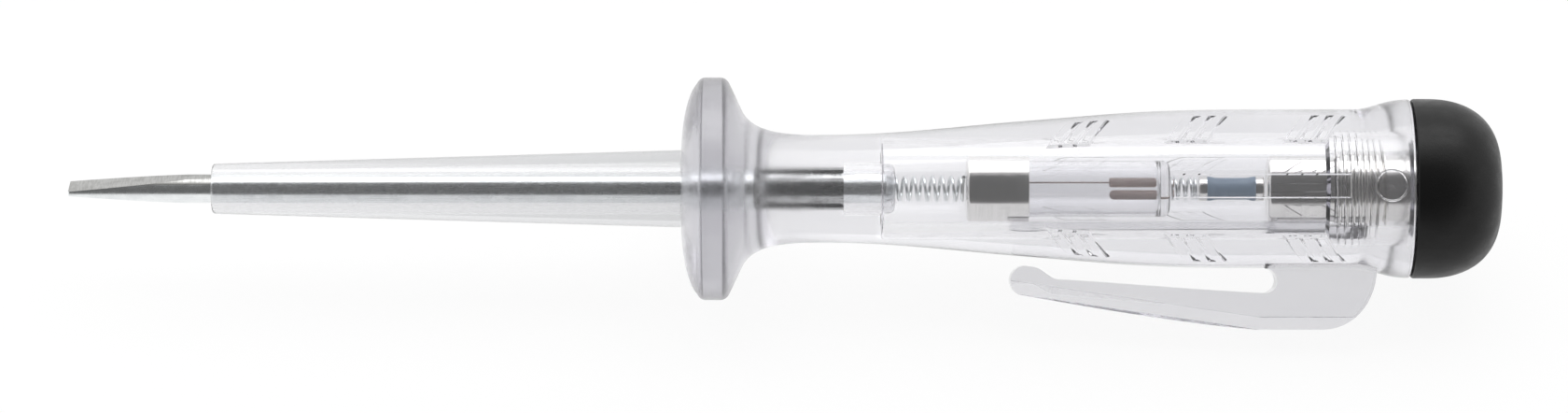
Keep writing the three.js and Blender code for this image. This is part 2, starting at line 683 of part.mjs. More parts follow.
// The wire's path on its unrolled cylinder, as points (distance round, place along the axis):
// a straight end square to the face it meets, a bend, the coils, and the same again
function springPath(length, radius, wire, pitch) {
  const slope = Math.atan(pitch / (2 * Math.PI * radius));
  const turned = Math.PI / 2 - slope;
  const lead = [[0, 0]];
  for (let i = 0; i <= BEND_STEPS; i += 1) {
    const bend = (turned * i) / BEND_STEPS;
    const round = SPRING_BEND_RADIUS * (1 - Math.cos(bend));
    lead.push([round, wire + SPRING_BEND_RADIUS * Math.sin(bend)]);
  }
  const [leadRound, leadAlong] = lead[lead.length - 1];
  const climb = length - 2 * leadAlong;
  const run = climb / Math.tan(slope);
  const coilSteps = Math.round((CURL_STEPS * run) / (2 * Math.PI * radius));
  const coils = [];
  for (let i = 1; i < coilSteps; i += 1) {
    const share = i / coilSteps;
    coils.push([leadRound + share * run, leadAlong + share * climb]);
  }
  const wholeRun = 2 * leadRound + run;
  const tail = lead.map(([round, along]) => [wholeRun - round, length - along]).reverse();
  return [...lead, ...coils, ...tail];
}

// Least gap between parts of the wire that are more than half a curl apart, measured on its points
function leastGap(centres, wire, radius) {
  const apart = Math.PI * radius;
  const travelled = [0];
  for (let i = 1; i < centres.length; i += 1) {
    travelled.push(travelled[i - 1] + centres[i].distanceTo(centres[i - 1]));
  }
  let least = Infinity;
  for (let i = 0; i < centres.length; i += 1) {
    for (let j = i + 1; j < centres.length; j += 1) {
      if (travelled[j] - travelled[i] > apart) {
        least = Math.min(least, centres[i].distanceTo(centres[j]) - wire);
      }
    }
  }
  return least;
}

function buildSpring(name, front, rear, diameter, wire, pitch) {
  const radius = (diameter - wire) / 2;
  const centres = springPath(rear - front, radius, wire, pitch).map(([round, along]) => {
    const angle = round / radius;
    return new THREE.Vector3(front + along, radius * Math.cos(angle), radius * Math.sin(angle));
  });
  const last = centres.length - 1;
  const points = [];
  centres.forEach((centre, i) => {
    const tangent = centres[Math.min(i + 1, last)].clone().sub(centres[Math.max(i - 1, 0)]).normalize();
    const outward = new THREE.Vector3(0, centre.y, centre.z).normalize();
    const across = tangent.clone().cross(outward).normalize();
    outward.crossVectors(across, tangent);
    for (let k = 0; k < WIRE_SIDES; k += 1) {
      const angle = (2 * Math.PI * k) / WIRE_SIDES;
      const ring = centre.clone();
      ring.addScaledVector(outward, (wire / 2) * Math.cos(angle));
      ring.addScaledVector(across, (wire / 2) * Math.sin(angle));
      points.push(ring.x, ring.y, ring.z);
    }
  });
  const triangles = [];
  for (let i = 0; i < last; i += 1) {
    for (let k = 0; k < WIRE_SIDES; k += 1) {
      const next = (k + 1) % WIRE_SIDES;
      const [a, b] = [i * WIRE_SIDES + k, i * WIRE_SIDES + next];
      triangles.push(a, b, b + WIRE_SIDES, a, b + WIRE_SIDES, a + WIRE_SIDES);
    }
  }
  for (let k = 1; k < WIRE_SIDES - 1; k += 1) {
    const end = last * WIRE_SIDES;
    triangles.push(0, k + 1, k, end, end + k, end + k + 1);
  }
  const geometry = new THREE.BufferGeometry();
  geometry.setAttribute('position', new THREE.Float32BufferAttribute(points, 3));
  geometry.setIndex(triangles);
  console.log(`${name}: least gap of the wire to itself ${leastGap(centres, wire, radius).toFixed(2)} mm`);
  return toSolid(geometry);
}

// Pocket clip, in the plane below the tool axis

const CLIP_REAR = HANDLE_REAR - CLIP_REAR_OFFSET;
const CLIP_FRONT = CLIP_REAR - CLIP_LENGTH;
const CLIP_SLOT_END = CLIP_REAR - CLIP_ROOT_LENGTH;
const CLIP_INNER = GRIP_RADIUS + CLIP_GAP;
const CLIP_FLEX = CLIP_SLOT_END - CLIP_FLEX_INSET;
const CLIP_TIP_X = CLIP_FRONT + CLIP_TIP_RADIUS;
const CLIP_TIP_DEPTH = handleRadiusAt(CLIP_TIP_X) + CLIP_TIP_GAP + CLIP_TIP_RADIUS;
const CLIP_TIP_UNDER = CLIP_TIP_DEPTH + CLIP_TIP_RADIUS;

// The long edge of the clip is bevelled on both sides, between two points of the clip's plane
function edgeBevels([frontX, frontDepth], [rearX, rearDepth]) {
  const length = Math.hypot(rearX - frontX, rearDepth - frontDepth) + 2 * PAST;
  const side = CLIP_EDGE_CHAMFER * Math.SQRT2;
  const tilt = Math.atan2(rearDepth - frontDepth, rearX - frontX);
  return [-1, 1].map((hand) => {
    const geometry = new THREE.BoxGeometry(length, side, side);
    geometry.rotateX(Math.PI / 4);
    geometry.rotateY(tilt);
    geometry.translate((frontX + rearX) / 2, (hand * CLIP_WIDTH) / 2, -(frontDepth + rearDepth) / 2);
    return toSolid(geometry);
  });
}

// The thick root of the clip, which is moulded with the handle
function clipRoot() {
  const front = CLIP_FLEX + SEAT_GAP / 2;
  const slotRadius = CLIP_GAP / 2;
  const slotX = CLIP_SLOT_END - slotRadius;
  const quarter = Math.PI / 2;
  const shape = new THREE.Shape();
  shape.moveTo(front, -CLIP_REACH);
  shape.lineTo(CLIP_REAR - CLIP_REAR_CURVE, -CLIP_REACH);
  const handleX = CLIP_REAR - (1 - CLIP_REAR_FULLNESS) * CLIP_REAR_CURVE;
  shape.quadraticCurveTo(handleX, -CLIP_REACH, CLIP_REAR, -GRIP_RADIUS);
  shape.lineTo(CLIP_REAR, -BORE_RADIUS - PAST);
  shape.lineTo(slotX, -BORE_RADIUS - PAST);
  shape.lineTo(slotX, -GRIP_RADIUS);
  shape.absarc(slotX, -GRIP_RADIUS - slotRadius, slotRadius, quarter, -quarter, true);
  shape.lineTo(front, -CLIP_INNER);
  const [near, far] = edgeBevels([front, CLIP_REACH], [CLIP_REAR, CLIP_REACH]);
  return plate(shape, CLIP_WIDTH).subtract(near).subtract(far);
}

// The arm of the clip, with a round bump at its free end
function buildClip() {
  const rear = CLIP_FLEX - SEAT_GAP / 2;
  const coveX = CLIP_TIP_X + CLIP_COVE_LENGTH;
  const coveDepth = CLIP_TIP_UNDER - CLIP_COVE_RISE;
  const shape = new THREE.Shape();
  shape.moveTo(rear, -CLIP_REACH);
  shape.lineTo(CLIP_TIP_X, -CLIP_TIP_UNDER);
  shape.absarc(CLIP_TIP_X, -CLIP_TIP_DEPTH, CLIP_TIP_RADIUS, -Math.PI / 2, CLIP_TIP_ROUND_END, true);
  shape.quadraticCurveTo(coveX - CLIP_COVE_LENGTH / 3, -coveDepth, coveX, -coveDepth);
  shape.lineTo(rear, -CLIP_INNER);
  const [near, far] = edgeBevels([CLIP_TIP_X, CLIP_TIP_UNDER], [rear, CLIP_REACH]);
  return plate(shape, CLIP_WIDTH).subtract(near).subtract(far);
}

// Finishes

function finish(color, roughness, metalness) {
  return new THREE.MeshStandardMaterial({ color, roughness, metalness });
}

function clearFinish(color, opacity) {
  const gloss = { roughness: 0.08, metalness: 0 };
  return new THREE.MeshStandardMaterial({ color, ...gloss, transparent: true, opacity });
}

const CLEAR_PLASTIC = 0xe6e7ec;
const PLATED_STEEL = 0xb4b9b6;
const NICKEL = 0xcfcdc8;
const COPPER = 0xb88874;

// Assembly

const tool = new THREE.Group();
tool.position.set(-OVERALL_LENGTH / 2, 0, GUARD_RADIUS);
tool.rotation.x = -REST_ROLL;

function addPart(name, solid, material) {
  const mesh = new THREE.Mesh(toGeometry(solid), material);
  mesh.name = name;
  tool.add(mesh);
}

const frontSpring = [FRONT_SPRING_FRONT, FRONT_SPRING_REAR, FRONT_SPRING_DIAMETER, FRONT_SPRING_WIRE];
const rearSpring = [REAR_SPRING_FRONT, REAR_SPRING_REAR, REAR_SPRING_DIAMETER, REAR_SPRING_WIRE];

addPart('blade', buildBlade(), finish(PLATED_STEEL, 0.3, 1));
addPart('blade_sleeve', buildSleeve(), clearFinish(CLEAR_PLASTIC, 0.35));
addPart('handle', buildHandle(), clearFinish(CLEAR_PLASTIC, 0.35));
addPart('pocket_clip', buildClip(), clearFinish(CLEAR_PLASTIC, 0.45));
addPart(
  'front_contact_spring',
  buildSpring('front_contact_spring', ...frontSpring, FRONT_SPRING_PITCH),
  finish(PLATED_STEEL, 0.3, 1),
);
addPart('lamp_cap', buildLampCap(), finish(NICKEL, 0.2, 1));
addPart('lamp_glass', buildLampGlass(), clearFinish(0xf2f4f4, 0.3));
addPart('lamp_upper_electrode', electrode(GLASS_FRONT, 1), finish(COPPER, 0.4, 1));
addPart('lamp_lower_electrode', electrode(GLASS_REAR, -1), finish(COPPER, 0.4, 1));
addPart(
  'rear_contact_spring',
  buildSpring('rear_contact_spring', ...rearSpring, REAR_SPRING_PITCH),
  finish(PLATED_STEEL, 0.3, 1),
);
addPart('resistor_front_cap', resistorCap(RESISTOR_FRONT, 1), finish(NICKEL, 0.3, 1));
addPart('resistor_body', buildResistorBody(), finish(0x6f8296, 0.35, 0));
addPart('resistor_rear_cap', resistorCap(RESISTOR_REAR, -1), finish(NICKEL, 0.3, 1));
addPart('contact_stud', buildStud(), finish(NICKEL, 0.22, 1));
addPart('end_cap', buildEndCap(), finish(0x1c1c1d, 0.6, 0));
addPart('touch_contact', buildTouchContact(), finish(NICKEL, 0.25, 1));

const part = new THREE.Group();
part.add(tool);

export default part;
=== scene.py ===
"""Looks of a voltage tester screwdriver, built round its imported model.

Pieces are modelled in tool millimetres: x runs along the tool axis from the blade tip, z points away from the
pocket clip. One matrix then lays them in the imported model's frame, in metres, rolled onto the clip.
"""

import logging
import math
from dataclasses import dataclass, field
from enum import Enum
from typing import Callable, Iterable, Sequence

import bmesh
import bpy
from mathutils import Matrix, Vector
from mathutils.geometry import interpolate_bezier


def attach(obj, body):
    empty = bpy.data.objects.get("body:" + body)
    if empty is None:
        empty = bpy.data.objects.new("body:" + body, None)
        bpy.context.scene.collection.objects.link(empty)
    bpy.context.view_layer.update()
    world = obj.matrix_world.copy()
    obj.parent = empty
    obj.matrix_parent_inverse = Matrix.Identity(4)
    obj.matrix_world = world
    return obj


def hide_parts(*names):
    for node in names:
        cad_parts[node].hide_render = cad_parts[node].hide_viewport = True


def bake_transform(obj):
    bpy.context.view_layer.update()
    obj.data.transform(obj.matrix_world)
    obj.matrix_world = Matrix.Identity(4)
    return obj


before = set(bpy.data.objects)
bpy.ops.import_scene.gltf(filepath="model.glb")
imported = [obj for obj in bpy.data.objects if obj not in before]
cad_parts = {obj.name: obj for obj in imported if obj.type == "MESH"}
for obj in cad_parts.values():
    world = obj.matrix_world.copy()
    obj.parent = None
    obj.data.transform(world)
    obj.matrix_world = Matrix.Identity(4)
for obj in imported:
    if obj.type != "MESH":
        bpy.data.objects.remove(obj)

LOG = logging.getLogger("tester")

Pair = tuple[float, float]
Triple = tuple[float, float, float]
Colour = tuple[float, float, float, float]

OVERALL_LENGTH = 150.0
AXIS_HEIGHT = 11.65
REST_ROLL = math.radians(-45.0)
TO_FRAME = (
    Matrix.Translation((-OVERALL_LENGTH / 2000.0, 0.0, AXIS_HEIGHT / 1000.0))
    @ Matrix.Rotation(REST_ROLL, 4, "X")
    @ Matrix.Scale(0.001, 4)
)


class Body(Enum):
    """The bodies that pieces ride on."""

    HANDLE = "handle_body"
    CLIP = "clip_arm"
    LAMP = "lamp_train"
    CAP = "screw_cap"


class Cut(Enum):
    """How one closed mesh changes another."""

    ADD = "UNION"
    TAKE = "DIFFERENCE"


class BladeCoat(Enum):
    """The material numbers of the blade's faces."""

    PLAIN = 0
    GROUND = 1
    FLUTED = 2


# Node graphs


@dataclass
class Value:
    """A socket in a node tree, with arithmetic that adds Math nodes."""

    graph: "Graph"
    socket: bpy.types.NodeSocket

    def _math(self, operation: str, first: object, second: object) -> "Value":
        """Adds one Math node and returns its result."""
        return self.graph.node("ShaderNodeMath", {"operation": operation}, {0: first, 1: second})

    def __add__(self, other: object) -> "Value":
        """Sum."""
        return self._math("ADD", self, other)

    __radd__ = __add__

    def __sub__(self, other: object) -> "Value":
        """Difference."""
        return self._math("SUBTRACT", self, other)

    def __rsub__(self, other: object) -> "Value":
        """Difference with the operands the other way round."""
        return self._math("SUBTRACT", other, self)

    def __mul__(self, other: object) -> "Value":
        """Product."""
        return self._math("MULTIPLY", self, other)

    __rmul__ = __mul__

    def larger(self, other: object) -> "Value":
        """The larger of two values."""
        return self._math("MAXIMUM", self, other)

    def ramp(self, low: float, high: float, to_low: float = 0.0, to_high: float = 1.0) -> "Value":
        """Maps a range smoothly onto another one.

        Args:
            low: Value that gives to_low.
            high: Value that gives to_high.
            to_low: Result at and below low.
            to_high: Result at and above high.

        Returns:
            The mapped value.
        """
        settings = {"interpolation_type": "SMOOTHSTEP"}
        return self.graph.node(
            "ShaderNodeMapRange", settings, {"Value": self, 1: low, 2: high, 3: to_low, 4: to_high}
        )


@dataclass
class Graph:
    """A node tree that is filled through one method."""

    tree: bpy.types.NodeTree

    def node(
        self, kind: str, settings: dict[str, object] | None = None,
        inputs: dict[object, object] | None = None, output: object = 0,
    ) -> Value:
        """Adds a node.

        Args:
            kind: The node's type name.
            settings: Attributes that are set first.
            inputs: Socket name or index to a value or a link.
            output: Name or index of the socket that is returned.

        Returns:
            The wrapped output socket.
        """
        made = self.tree.nodes.new(kind)
        for name, setting in (settings or {}).items():
            setattr(made, name, setting)
        for key, given in (inputs or {}).items():
            socket = made.inputs[key]
            if isinstance(given, Value):
                self.tree.links.new(given.socket, socket)
            else:
                socket.default_value = given
        return Value(self, made.outputs[output]) if len(made.outputs) else Value(self, made.inputs[0])

    def place(self, scale: Triple = (1.0, 1.0, 1.0)) -> Value:
        """Object coordinates in millimetres, along and across the tool.

        Args:
            scale: Stretch of the coordinates along each axis.

        Returns:
            The coordinates.
        """
        where = self.node("ShaderNodeTexCoord", output="Object")
        inputs = {"Vector": where, "Scale": tuple(1000.0 * factor for factor in scale)}
        return self.node("ShaderNodeMapping", None, inputs)

    def noise(self, vector: Value, scale: float, detail: float = 3.0, roughness: float = 0.5) -> Value:
        """A noise value over a vector."""
        inputs = {"Vector": vector, "Scale": scale, "Detail": detail, "Roughness": roughness}
        return self.node("ShaderNodeTexNoise", None, inputs)

    def tint(self, amount: Value, low: Colour, high: Colour) -> Value:
        """A colour between two, by an amount."""
        settings = {"data_type": "RGBA"}
        return self.node("ShaderNodeMix", settings, {0: amount, 6: low, 7: high}, output=2)

    def bump(self, height: Value, strength: float, distance_mm: float) -> Value:
        """A normal from a height."""
        inputs = {"Height": height, "Strength": strength, "Distance": distance_mm / 1000.0}
        return self.node("ShaderNodeBump", None, inputs)


# Finishes


@dataclass(frozen=True)
class Finish:
    """What all finishes share: a name, a slot name and a principled shader."""

    name: str
    slot: str

    def shade(self, graph: Graph) -> dict[str, object]:
        """The inputs of the principled shader."""
        raise NotImplementedError

    def body(self, graph: Graph) -> dict[str, Value]:
        """What fills the piece under its surface, where it is clear."""
        return {}

    def material(self) -> bpy.types.Material:
        """Builds the finish once.

        Returns:
            The material, new or made before.
        """
        ready = bpy.data.materials.get(self.name)
        if ready:
            return ready
        made = bpy.data.materials.new(self.name)
        made.use_nodes = True
        made.node_tree.nodes.clear()
        graph = Graph(made.node_tree)
        surface = graph.node("ShaderNodeBsdfPrincipled", None, self.shade(graph))
        graph.node("ShaderNodeOutputMaterial", None, {"Surface": surface, **self.body(graph)})
        return made


@dataclass(frozen=True)
class ClearMoulding(Finish):
    """Clear moulded plastic or glass, with faint flow waves, a slightly uneven polish and a painted shade
    that greys its front end.
    """

    colour_low: Colour = (0.95, 0.95, 0.965, 1.0)
    colour_high: Colour = (0.98, 0.98, 0.988, 1.0)
    refraction: float = 1.49
    clearness: float = 0.965
    polish: Pair = (0.01, 0.05)
    # Painted shade: the grey base colour at the front end, standing in for the shade seen in the thick guard.
    painted_front_shade: Colour = (0.96, 0.96, 0.97, 1.0)
    painted_shade_span: Pair = (-6.2, -4.0)
    haze: float = 0.0
    haze_span: Pair = (0.0, 9.0)
    rear_haze: float = 0.0
    rear_haze_span: Pair = (58.0, 64.0)
    wave_mm: float = 0.005
    depth_colour: Colour = (0.51, 0.5, 0.56, 1.0)
    depth_density: float = 28.0
    flow_scale: Triple = (0.06, 0.35, 0.35)
    polish_scale: Triple = (0.5, 0.9, 0.9)

    def shade(self, graph: Graph) -> dict[str, object]:
        """Transmission with a tint, polish and waves that vary over the piece, and a painted shade on the
        base colour towards the front end.

        Args:
            graph: The material's nodes.

        Returns:
            The inputs of the principled shader.
        """
        flow = graph.noise(graph.place(self.flow_scale), 1.0, 2.0)
        polish = graph.noise(graph.place(self.polish_scale), 1.0, 4.0)
        along = graph.node("ShaderNodeSeparateXYZ", None, {0: graph.place()})
        front_haze = along.ramp(*self.haze_span, self.haze, 0.0)
        haze = front_haze + along.ramp(*self.rear_haze_span, 0.0, self.rear_haze)
        tone = graph.tint(flow.ramp(0.35, 0.65), self.colour_low, self.colour_high)
        return {
            # Painted shade: the base colour turns grey towards the front end, standing in for shade in the
            # guard.
            "Base Color": graph.tint(along.ramp(*self.painted_shade_span), self.painted_front_shade, tone),
            "Roughness": polish.ramp(0.35, 0.7, *self.polish) + haze,
            "IOR": self.refraction,
            "Transmission Weight": self.clearness,
            "Normal": graph.bump(flow, 0.6, self.wave_mm),
        }

    def body(self, graph: Graph) -> dict[str, Value]:
        """A faint violet-grey that deepens with the thickness."""
        inputs = {"Color": self.depth_colour, "Density": self.depth_density}
        return {"Volume": graph.node("ShaderNodeVolumeAbsorption", None, inputs)}


@dataclass(frozen=True)
class DrawnMetal(Finish):
    """Plated metal with fine lines along or round the tool and small dull patches."""

    colour_low: Colour = (0.8, 0.82, 0.83, 1.0)
    colour_high: Colour = (0.92, 0.94, 0.94, 1.0)
    gloss: Pair = (0.2, 0.32)
    line_scale: Triple = (0.15, 30.0, 30.0)
    line_mm: float = 0.0006
    patch_scale: Triple = (0.7, 0.9, 0.9)

    def shade(self, graph: Graph) -> dict[str, object]:
        """Metal whose tone, gloss and height follow the lines and the patches.

        Args:
            graph: The material's nodes.

        Returns:
            The inputs of the principled shader.
        """
        lines = graph.noise(graph.place(self.line_scale), 1.0, 3.0)
        patches = graph.noise(graph.place(self.patch_scale), 1.0, 5.0, 0.6)
        mottle = (lines * 0.55 + patches * 0.45).ramp(0.32, 0.68)
        return {
            "Base Color": graph.tint(mottle, self.colour_low, self.colour_high),
            "Metallic": 1.0,
            "Roughness": mottle.ramp(0.0, 1.0, self.gloss[1], self.gloss[0]),
            "Normal": graph.bump(lines, 0.35, self.line_mm),
        }


@dataclass(frozen=True)
class GrainedPlastic(Finish):
    """An opaque coat or plastic with a fine grain and rubbed patches."""

    colour_low: Colour = (0.004, 0.004, 0.004, 1.0)
    colour_high: Colour = (0.008, 0.008, 0.008, 1.0)
    gloss: Pair = (0.3, 0.42)
    specular: float = 0.22
    grain_mm: float = 0.03
    grain_scale: float = 9.0
    wear_scale: Triple = (0.35, 0.5, 0.5)

    def shade(self, graph: Graph) -> dict[str, object]:
        """A dull coat whose tone and gloss change with wear, over the grain.

        Args:
            graph: The material's nodes.

        Returns:
            The inputs of the principled shader.
        """
        grain = graph.noise(graph.place((self.grain_scale,) * 3), 1.0, 2.0)
        wear = graph.noise(graph.place(self.wear_scale), 1.0, 6.0, 0.62)
        rubbed = wear.ramp(0.3, 0.8)
        return {
            "Base Color": graph.tint(rubbed, self.colour_low, self.colour_high),
            "Roughness": rubbed.ramp(0.0, 1.0, self.gloss[1], self.gloss[0]),
            "Specular IOR Level": self.specular,
            "Normal": graph.bump(grain, 0.5, self.grain_mm),
        }


class Finishes:
    """The finishes of this tool."""

    # The moulding's front end gets a painted shade, a greyer base colour that stands in for shade in the
    # guard.
    PLASTIC = ClearMoulding(
        "clear_moulding", "clear_plastic", painted_front_shade=(0.74, 0.735, 0.76, 1.0), haze=0.22, rear_haze=0.12,
    )
    SLEEVE = ClearMoulding(
        "sleeve_moulding", "clear_plastic", polish=(0.04, 0.06), wave_mm=0.0,
        depth_colour=(0.5, 0.51, 0.52, 1.0), depth_density=95.0,
    )
    CLIP = ClearMoulding(
        "clip_moulding", "clear_plastic", clearness=0.9, polish=(0.06, 0.12), depth_density=52.0,
    )
    GLASS = ClearMoulding(
        "tube_glass", "lamp_glass", refraction=1.5, clearness=0.985, wave_mm=0.01, depth_density=4.0,
    )
    STEEL = DrawnMetal("drawn_steel", "plated_steel")
    GROUND = DrawnMetal(
        "ground_steel", "plated_steel", (0.32, 0.32, 0.31, 1.0), (0.46, 0.46, 0.45, 1.0), (0.28, 0.42),
        (9.0, 0.8, 0.8), 0.01,
    )
    FLUTED = DrawnMetal(
        "fluted_steel", "plated_steel", (0.3, 0.3, 0.3, 1.0), (0.56, 0.57, 0.57, 1.0), (0.16, 0.3),
        (0.2, 5.0, 5.0), 0.004,
    )
    SPRING = DrawnMetal("spring_wire", "plated_steel", gloss=(0.14, 0.26), line_scale=(3.0, 3.0, 3.0))
    NICKEL = DrawnMetal(
        "bright_nickel", "nickel_plate", (0.74, 0.73, 0.71, 1.0), (0.84, 0.83, 0.81, 1.0), (0.06, 0.14),
        (9.0, 0.3, 0.3), 0.003,
    )
    COPPER = GrainedPlastic(
        "copper_coat", "electrode_coat", (0.93, 0.76, 0.7, 1.0), (0.98, 0.85, 0.8, 1.0), (0.4, 0.5),
        0.5, 0.02, 3.0,
    )
    LACQUER = GrainedPlastic(
        "resistor_lacquer", "resistor_coating", (0.28, 0.37, 0.48, 1.0), (0.34, 0.44, 0.55, 1.0), (0.2, 0.32),
        0.5, 0.02, 1.5,
    )
    BLACK = GrainedPlastic("grained_black", "black_plastic")


# Shaping


@dataclass
class Outline:
    """A half section of a turned piece: places along the axis and radii, in millimetres."""

    points: list[Pair] = field(default_factory=list)

    def to(self, *points: Pair) -> "Outline":
        """Adds straight runs to points."""
        self.points.extend(points)
        return self

    def curve(self, near: Pair, far: Pair, end: Pair, steps: int = 14) -> "Outline":
        """Adds a curve whose two handles are shares of the way along and of the way up to its end.

        Args:
            near: Handle by the start.
            far: Handle by the end.
            end: Where the curve ends.
            steps: Points on the curve.

        Returns:
            The same outline.
        """
        start = self.points[-1]
        handles = [
            (start[0] + along * (end[0] - start[0]), start[1] + up * (end[1] - start[1]))
            for along, up in (near, far)
        ]
        knots = [Vector((x, r, 0.0)) for x, r in (start, *handles, end)]
        self.points.extend((p.x, p.y) for p in interpolate_bezier(*knots, steps)[1:])
        return self

    def edge(self, corner: Pair, end: Pair, steps: int = 5) -> "Outline":
        """Rounds a corner on the way to an end point.

        Args:
            corner: The corner, which the curve stays inside.
            end: Where the curve ends.
            steps: Points on the curve.

        Returns:
            The same outline.
        """
        start = Vector((*self.points[-1], 0.0))
        mid, last = Vector((*corner, 0.0)), Vector((*end, 0.0))
        knots = (start, start.lerp(mid, 0.6), last.lerp(mid, 0.6), last)
        self.points.extend((p.x, p.y) for p in interpolate_bezier(*knots, steps)[1:])
        return self

    def radius_at(self, x: float) -> float:
        """The outline's largest radius at a place along the axis.

        Args:
            x: The place.

        Returns:
            The radius, or 0 outside the outline.
        """
        found = 0.0
        for (x0, r0), (x1, r1) in zip(self.points, self.points[1:]):
            if x0 <= x <= x1 and x1 > x0:
                found = max(found, r0 + (r1 - r0) * (x - x0) / (x1 - x0))
        return found


class Shaper:
    """Makes and joins meshes in tool millimetres."""

    @staticmethod
    def turned(outline: Outline, segments: int = 96, ring: bool = False) -> bmesh.types.BMesh:
        """Spins a half section about the tool axis.

        Args:
            outline: The half section.
            segments: Facets round the axis.
            ring: True where the section closes on itself, False where it ends on the axis.

        Returns:
            A closed mesh.
        """
        work = bmesh.new()
        verts = [work.verts.new((x, 0.0, r)) for x, r in outline.points]
        links = list(zip(verts, verts[1:]))
        if ring:
            links.append((verts[-1], verts[0]))
        edges = [work.edges.new(pair) for pair in links]
        bmesh.ops.spin(
            work, geom=[*verts, *edges], cent=(0, 0, 0), axis=(1, 0, 0), angle=2 * math.pi, steps=segments,
            use_merge=True,
        )
        bmesh.ops.remove_doubles(work, verts=work.verts, dist=1e-5)
        bmesh.ops.recalc_face_normals(work, faces=work.faces)
        return work

    @staticmethod
    def wound(section: Sequence[Pair], turns: Sequence[Pair], steps: int = 36) -> bmesh.types.BMesh:
        """Winds a closed section round the tool axis.

        Args:
            section: Places along the axis and radii of the section's corners.
            turns: Runs of (number of turns, climb of one turn).
            steps: Facets in a turn.

        Returns:
            A closed mesh with flat ends.
        """
        work = bmesh.new()
        verts = [work.verts.new((x, 0.0, r)) for x, r in section]
        live: list[object] = [
            *verts, *(work.edges.new(pair) for pair in zip(verts, verts[1:] + verts[:1]))
        ]
        for count, climb in turns:
            done = bmesh.ops.spin(
                work, geom=live, cent=(0, 0, 0), axis=(1, 0, 0), dvec=(climb / steps, 0, 0),
                angle=2 * math.pi * count, steps=max(1, round(count * steps)),
            )
            live = done["geom_last"]
        rims = [edge for edge in work.edges if edge.is_boundary]
        bmesh.ops.holes_fill(work, edges=rims, sides=0)
        bmesh.ops.recalc_face_normals(work, faces=work.faces)
        return work

    @staticmethod
    def plate(points: Sequence[Pair], width: float) -> bmesh.types.BMesh:
        """Gives a flat outline in the clip's plane a width across it.

        Args:
            points: Places along the axis and heights.
            width: The width, half on each side of the plane.

        Returns:
            A closed mesh.
        """
        work = bmesh.new()
        verts = [work.verts.new((x, -width / 2, z)) for x, z in points]
        face = work.faces.new(verts)
        grown = bmesh.ops.extrude_face_region(work, geom=[face], use_keep_orig=True)
        moved = [item for item in grown["geom"] if isinstance(item, bmesh.types.BMVert)]
        bmesh.ops.translate(work, verts=moved, vec=(0, width, 0))
        bmesh.ops.recalc_face_normals(work, faces=work.faces)
        return work

    @staticmethod
    def box(size: Sequence[float], matrix: Matrix) -> bmesh.types.BMesh:
        """A block.

        Args:
            size: Its three sizes.
            matrix: Where its middle goes and how it is turned.

        Returns:
            A closed mesh.
        """
        work = bmesh.new()
        made = bmesh.ops.create_cube(work, size=1.0)
        bmesh.ops.scale(work, verts=made["verts"], vec=size)
        bmesh.ops.transform(work, verts=made["verts"], matrix=matrix)
        return work

    @staticmethod
    def joined(parts: Iterable[bmesh.types.BMesh]) -> bmesh.types.BMesh:
        """Puts several meshes into one.

        Args:
            parts: The meshes, which are used up.

        Returns:
            All of them in one mesh.
        """
        whole = bmesh.new()
        for part in parts:
            spare = bpy.data.meshes.new("spare")
            part.to_mesh(spare)
            part.free()
            whole.from_mesh(spare)
            bpy.data.meshes.remove(spare)
        return whole

    @staticmethod
    def combine(base: bmesh.types.BMesh, tool: bmesh.types.BMesh, way: Cut) -> bmesh.types.BMesh:
        """Joins or cuts two closed meshes.

        Args:
            base: The mesh that is changed.
            tool: The mesh that changes it.
            way: Whether the tool is added or taken away.

        Returns:
            The result.
        """
        pair = []
        for work in (base, tool):
            mesh = bpy.data.meshes.new("spare")
            work.to_mesh(mesh)
            work.free()
            pair.append(bpy.data.objects.new("spare", mesh))
            bpy.context.scene.collection.objects.link(pair[-1])
        cut = pair[0].modifiers.new("cut", "BOOLEAN")
        cut.operation = way.value
        cut.solver = "MANIFOLD"
        cut.object = pair[1]
        graph = bpy.context.evaluated_depsgraph_get()
        graph.update()
        result = bmesh.new()
        result.from_mesh(pair[0].evaluated_get(graph).data)
        for spare in pair:
            mesh = spare.data
            bpy.data.objects.remove(spare)
            bpy.data.meshes.remove(mesh)
        return result

    @staticmethod
    def finished(
        name: str, work: bmesh.types.BMesh, finish: Finish, sharp: float = 32.0, extra: Sequence[Finish] = (),
    ) -> bpy.types.Object:
        """Lays a mesh in the frame and makes it an object with a finish.

        Args:
            name: The object's name.
            work: The mesh, in tool millimetres.
            finish: Its finish.
            sharp: Edges bent by more than this many degrees stay crisp.
            extra: Finishes for the further material numbers of its faces.

        Returns:
            The new object.
        """
        bmesh.ops.transform(work, verts=work.verts, matrix=TO_FRAME)
        mesh = bpy.data.meshes.new(name)
        work.to_mesh(mesh)
        work.free()
        mesh.shade_smooth()
        mesh.set_sharp_from_angle(angle=math.radians(sharp))
        made = bpy.data.objects.new(name, mesh)
        bpy.context.scene.collection.objects.link(made)
        for coat in (finish, *extra):
            mesh.materials.append(coat.material())
        LOG.info("%s: %d faces", name, len(mesh.polygons))
        return made


def eased(share: float) -> float:
    """A share from 0 to 1 with a soft start and end."""
    return share * share * (3 - 2 * share)


def seat(piece: bpy.types.Object, body: Body, *nodes: str) -> None:
    """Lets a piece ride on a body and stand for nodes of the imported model."""
    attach(piece, body.value)
    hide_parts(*nodes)


# Blade and sleeve


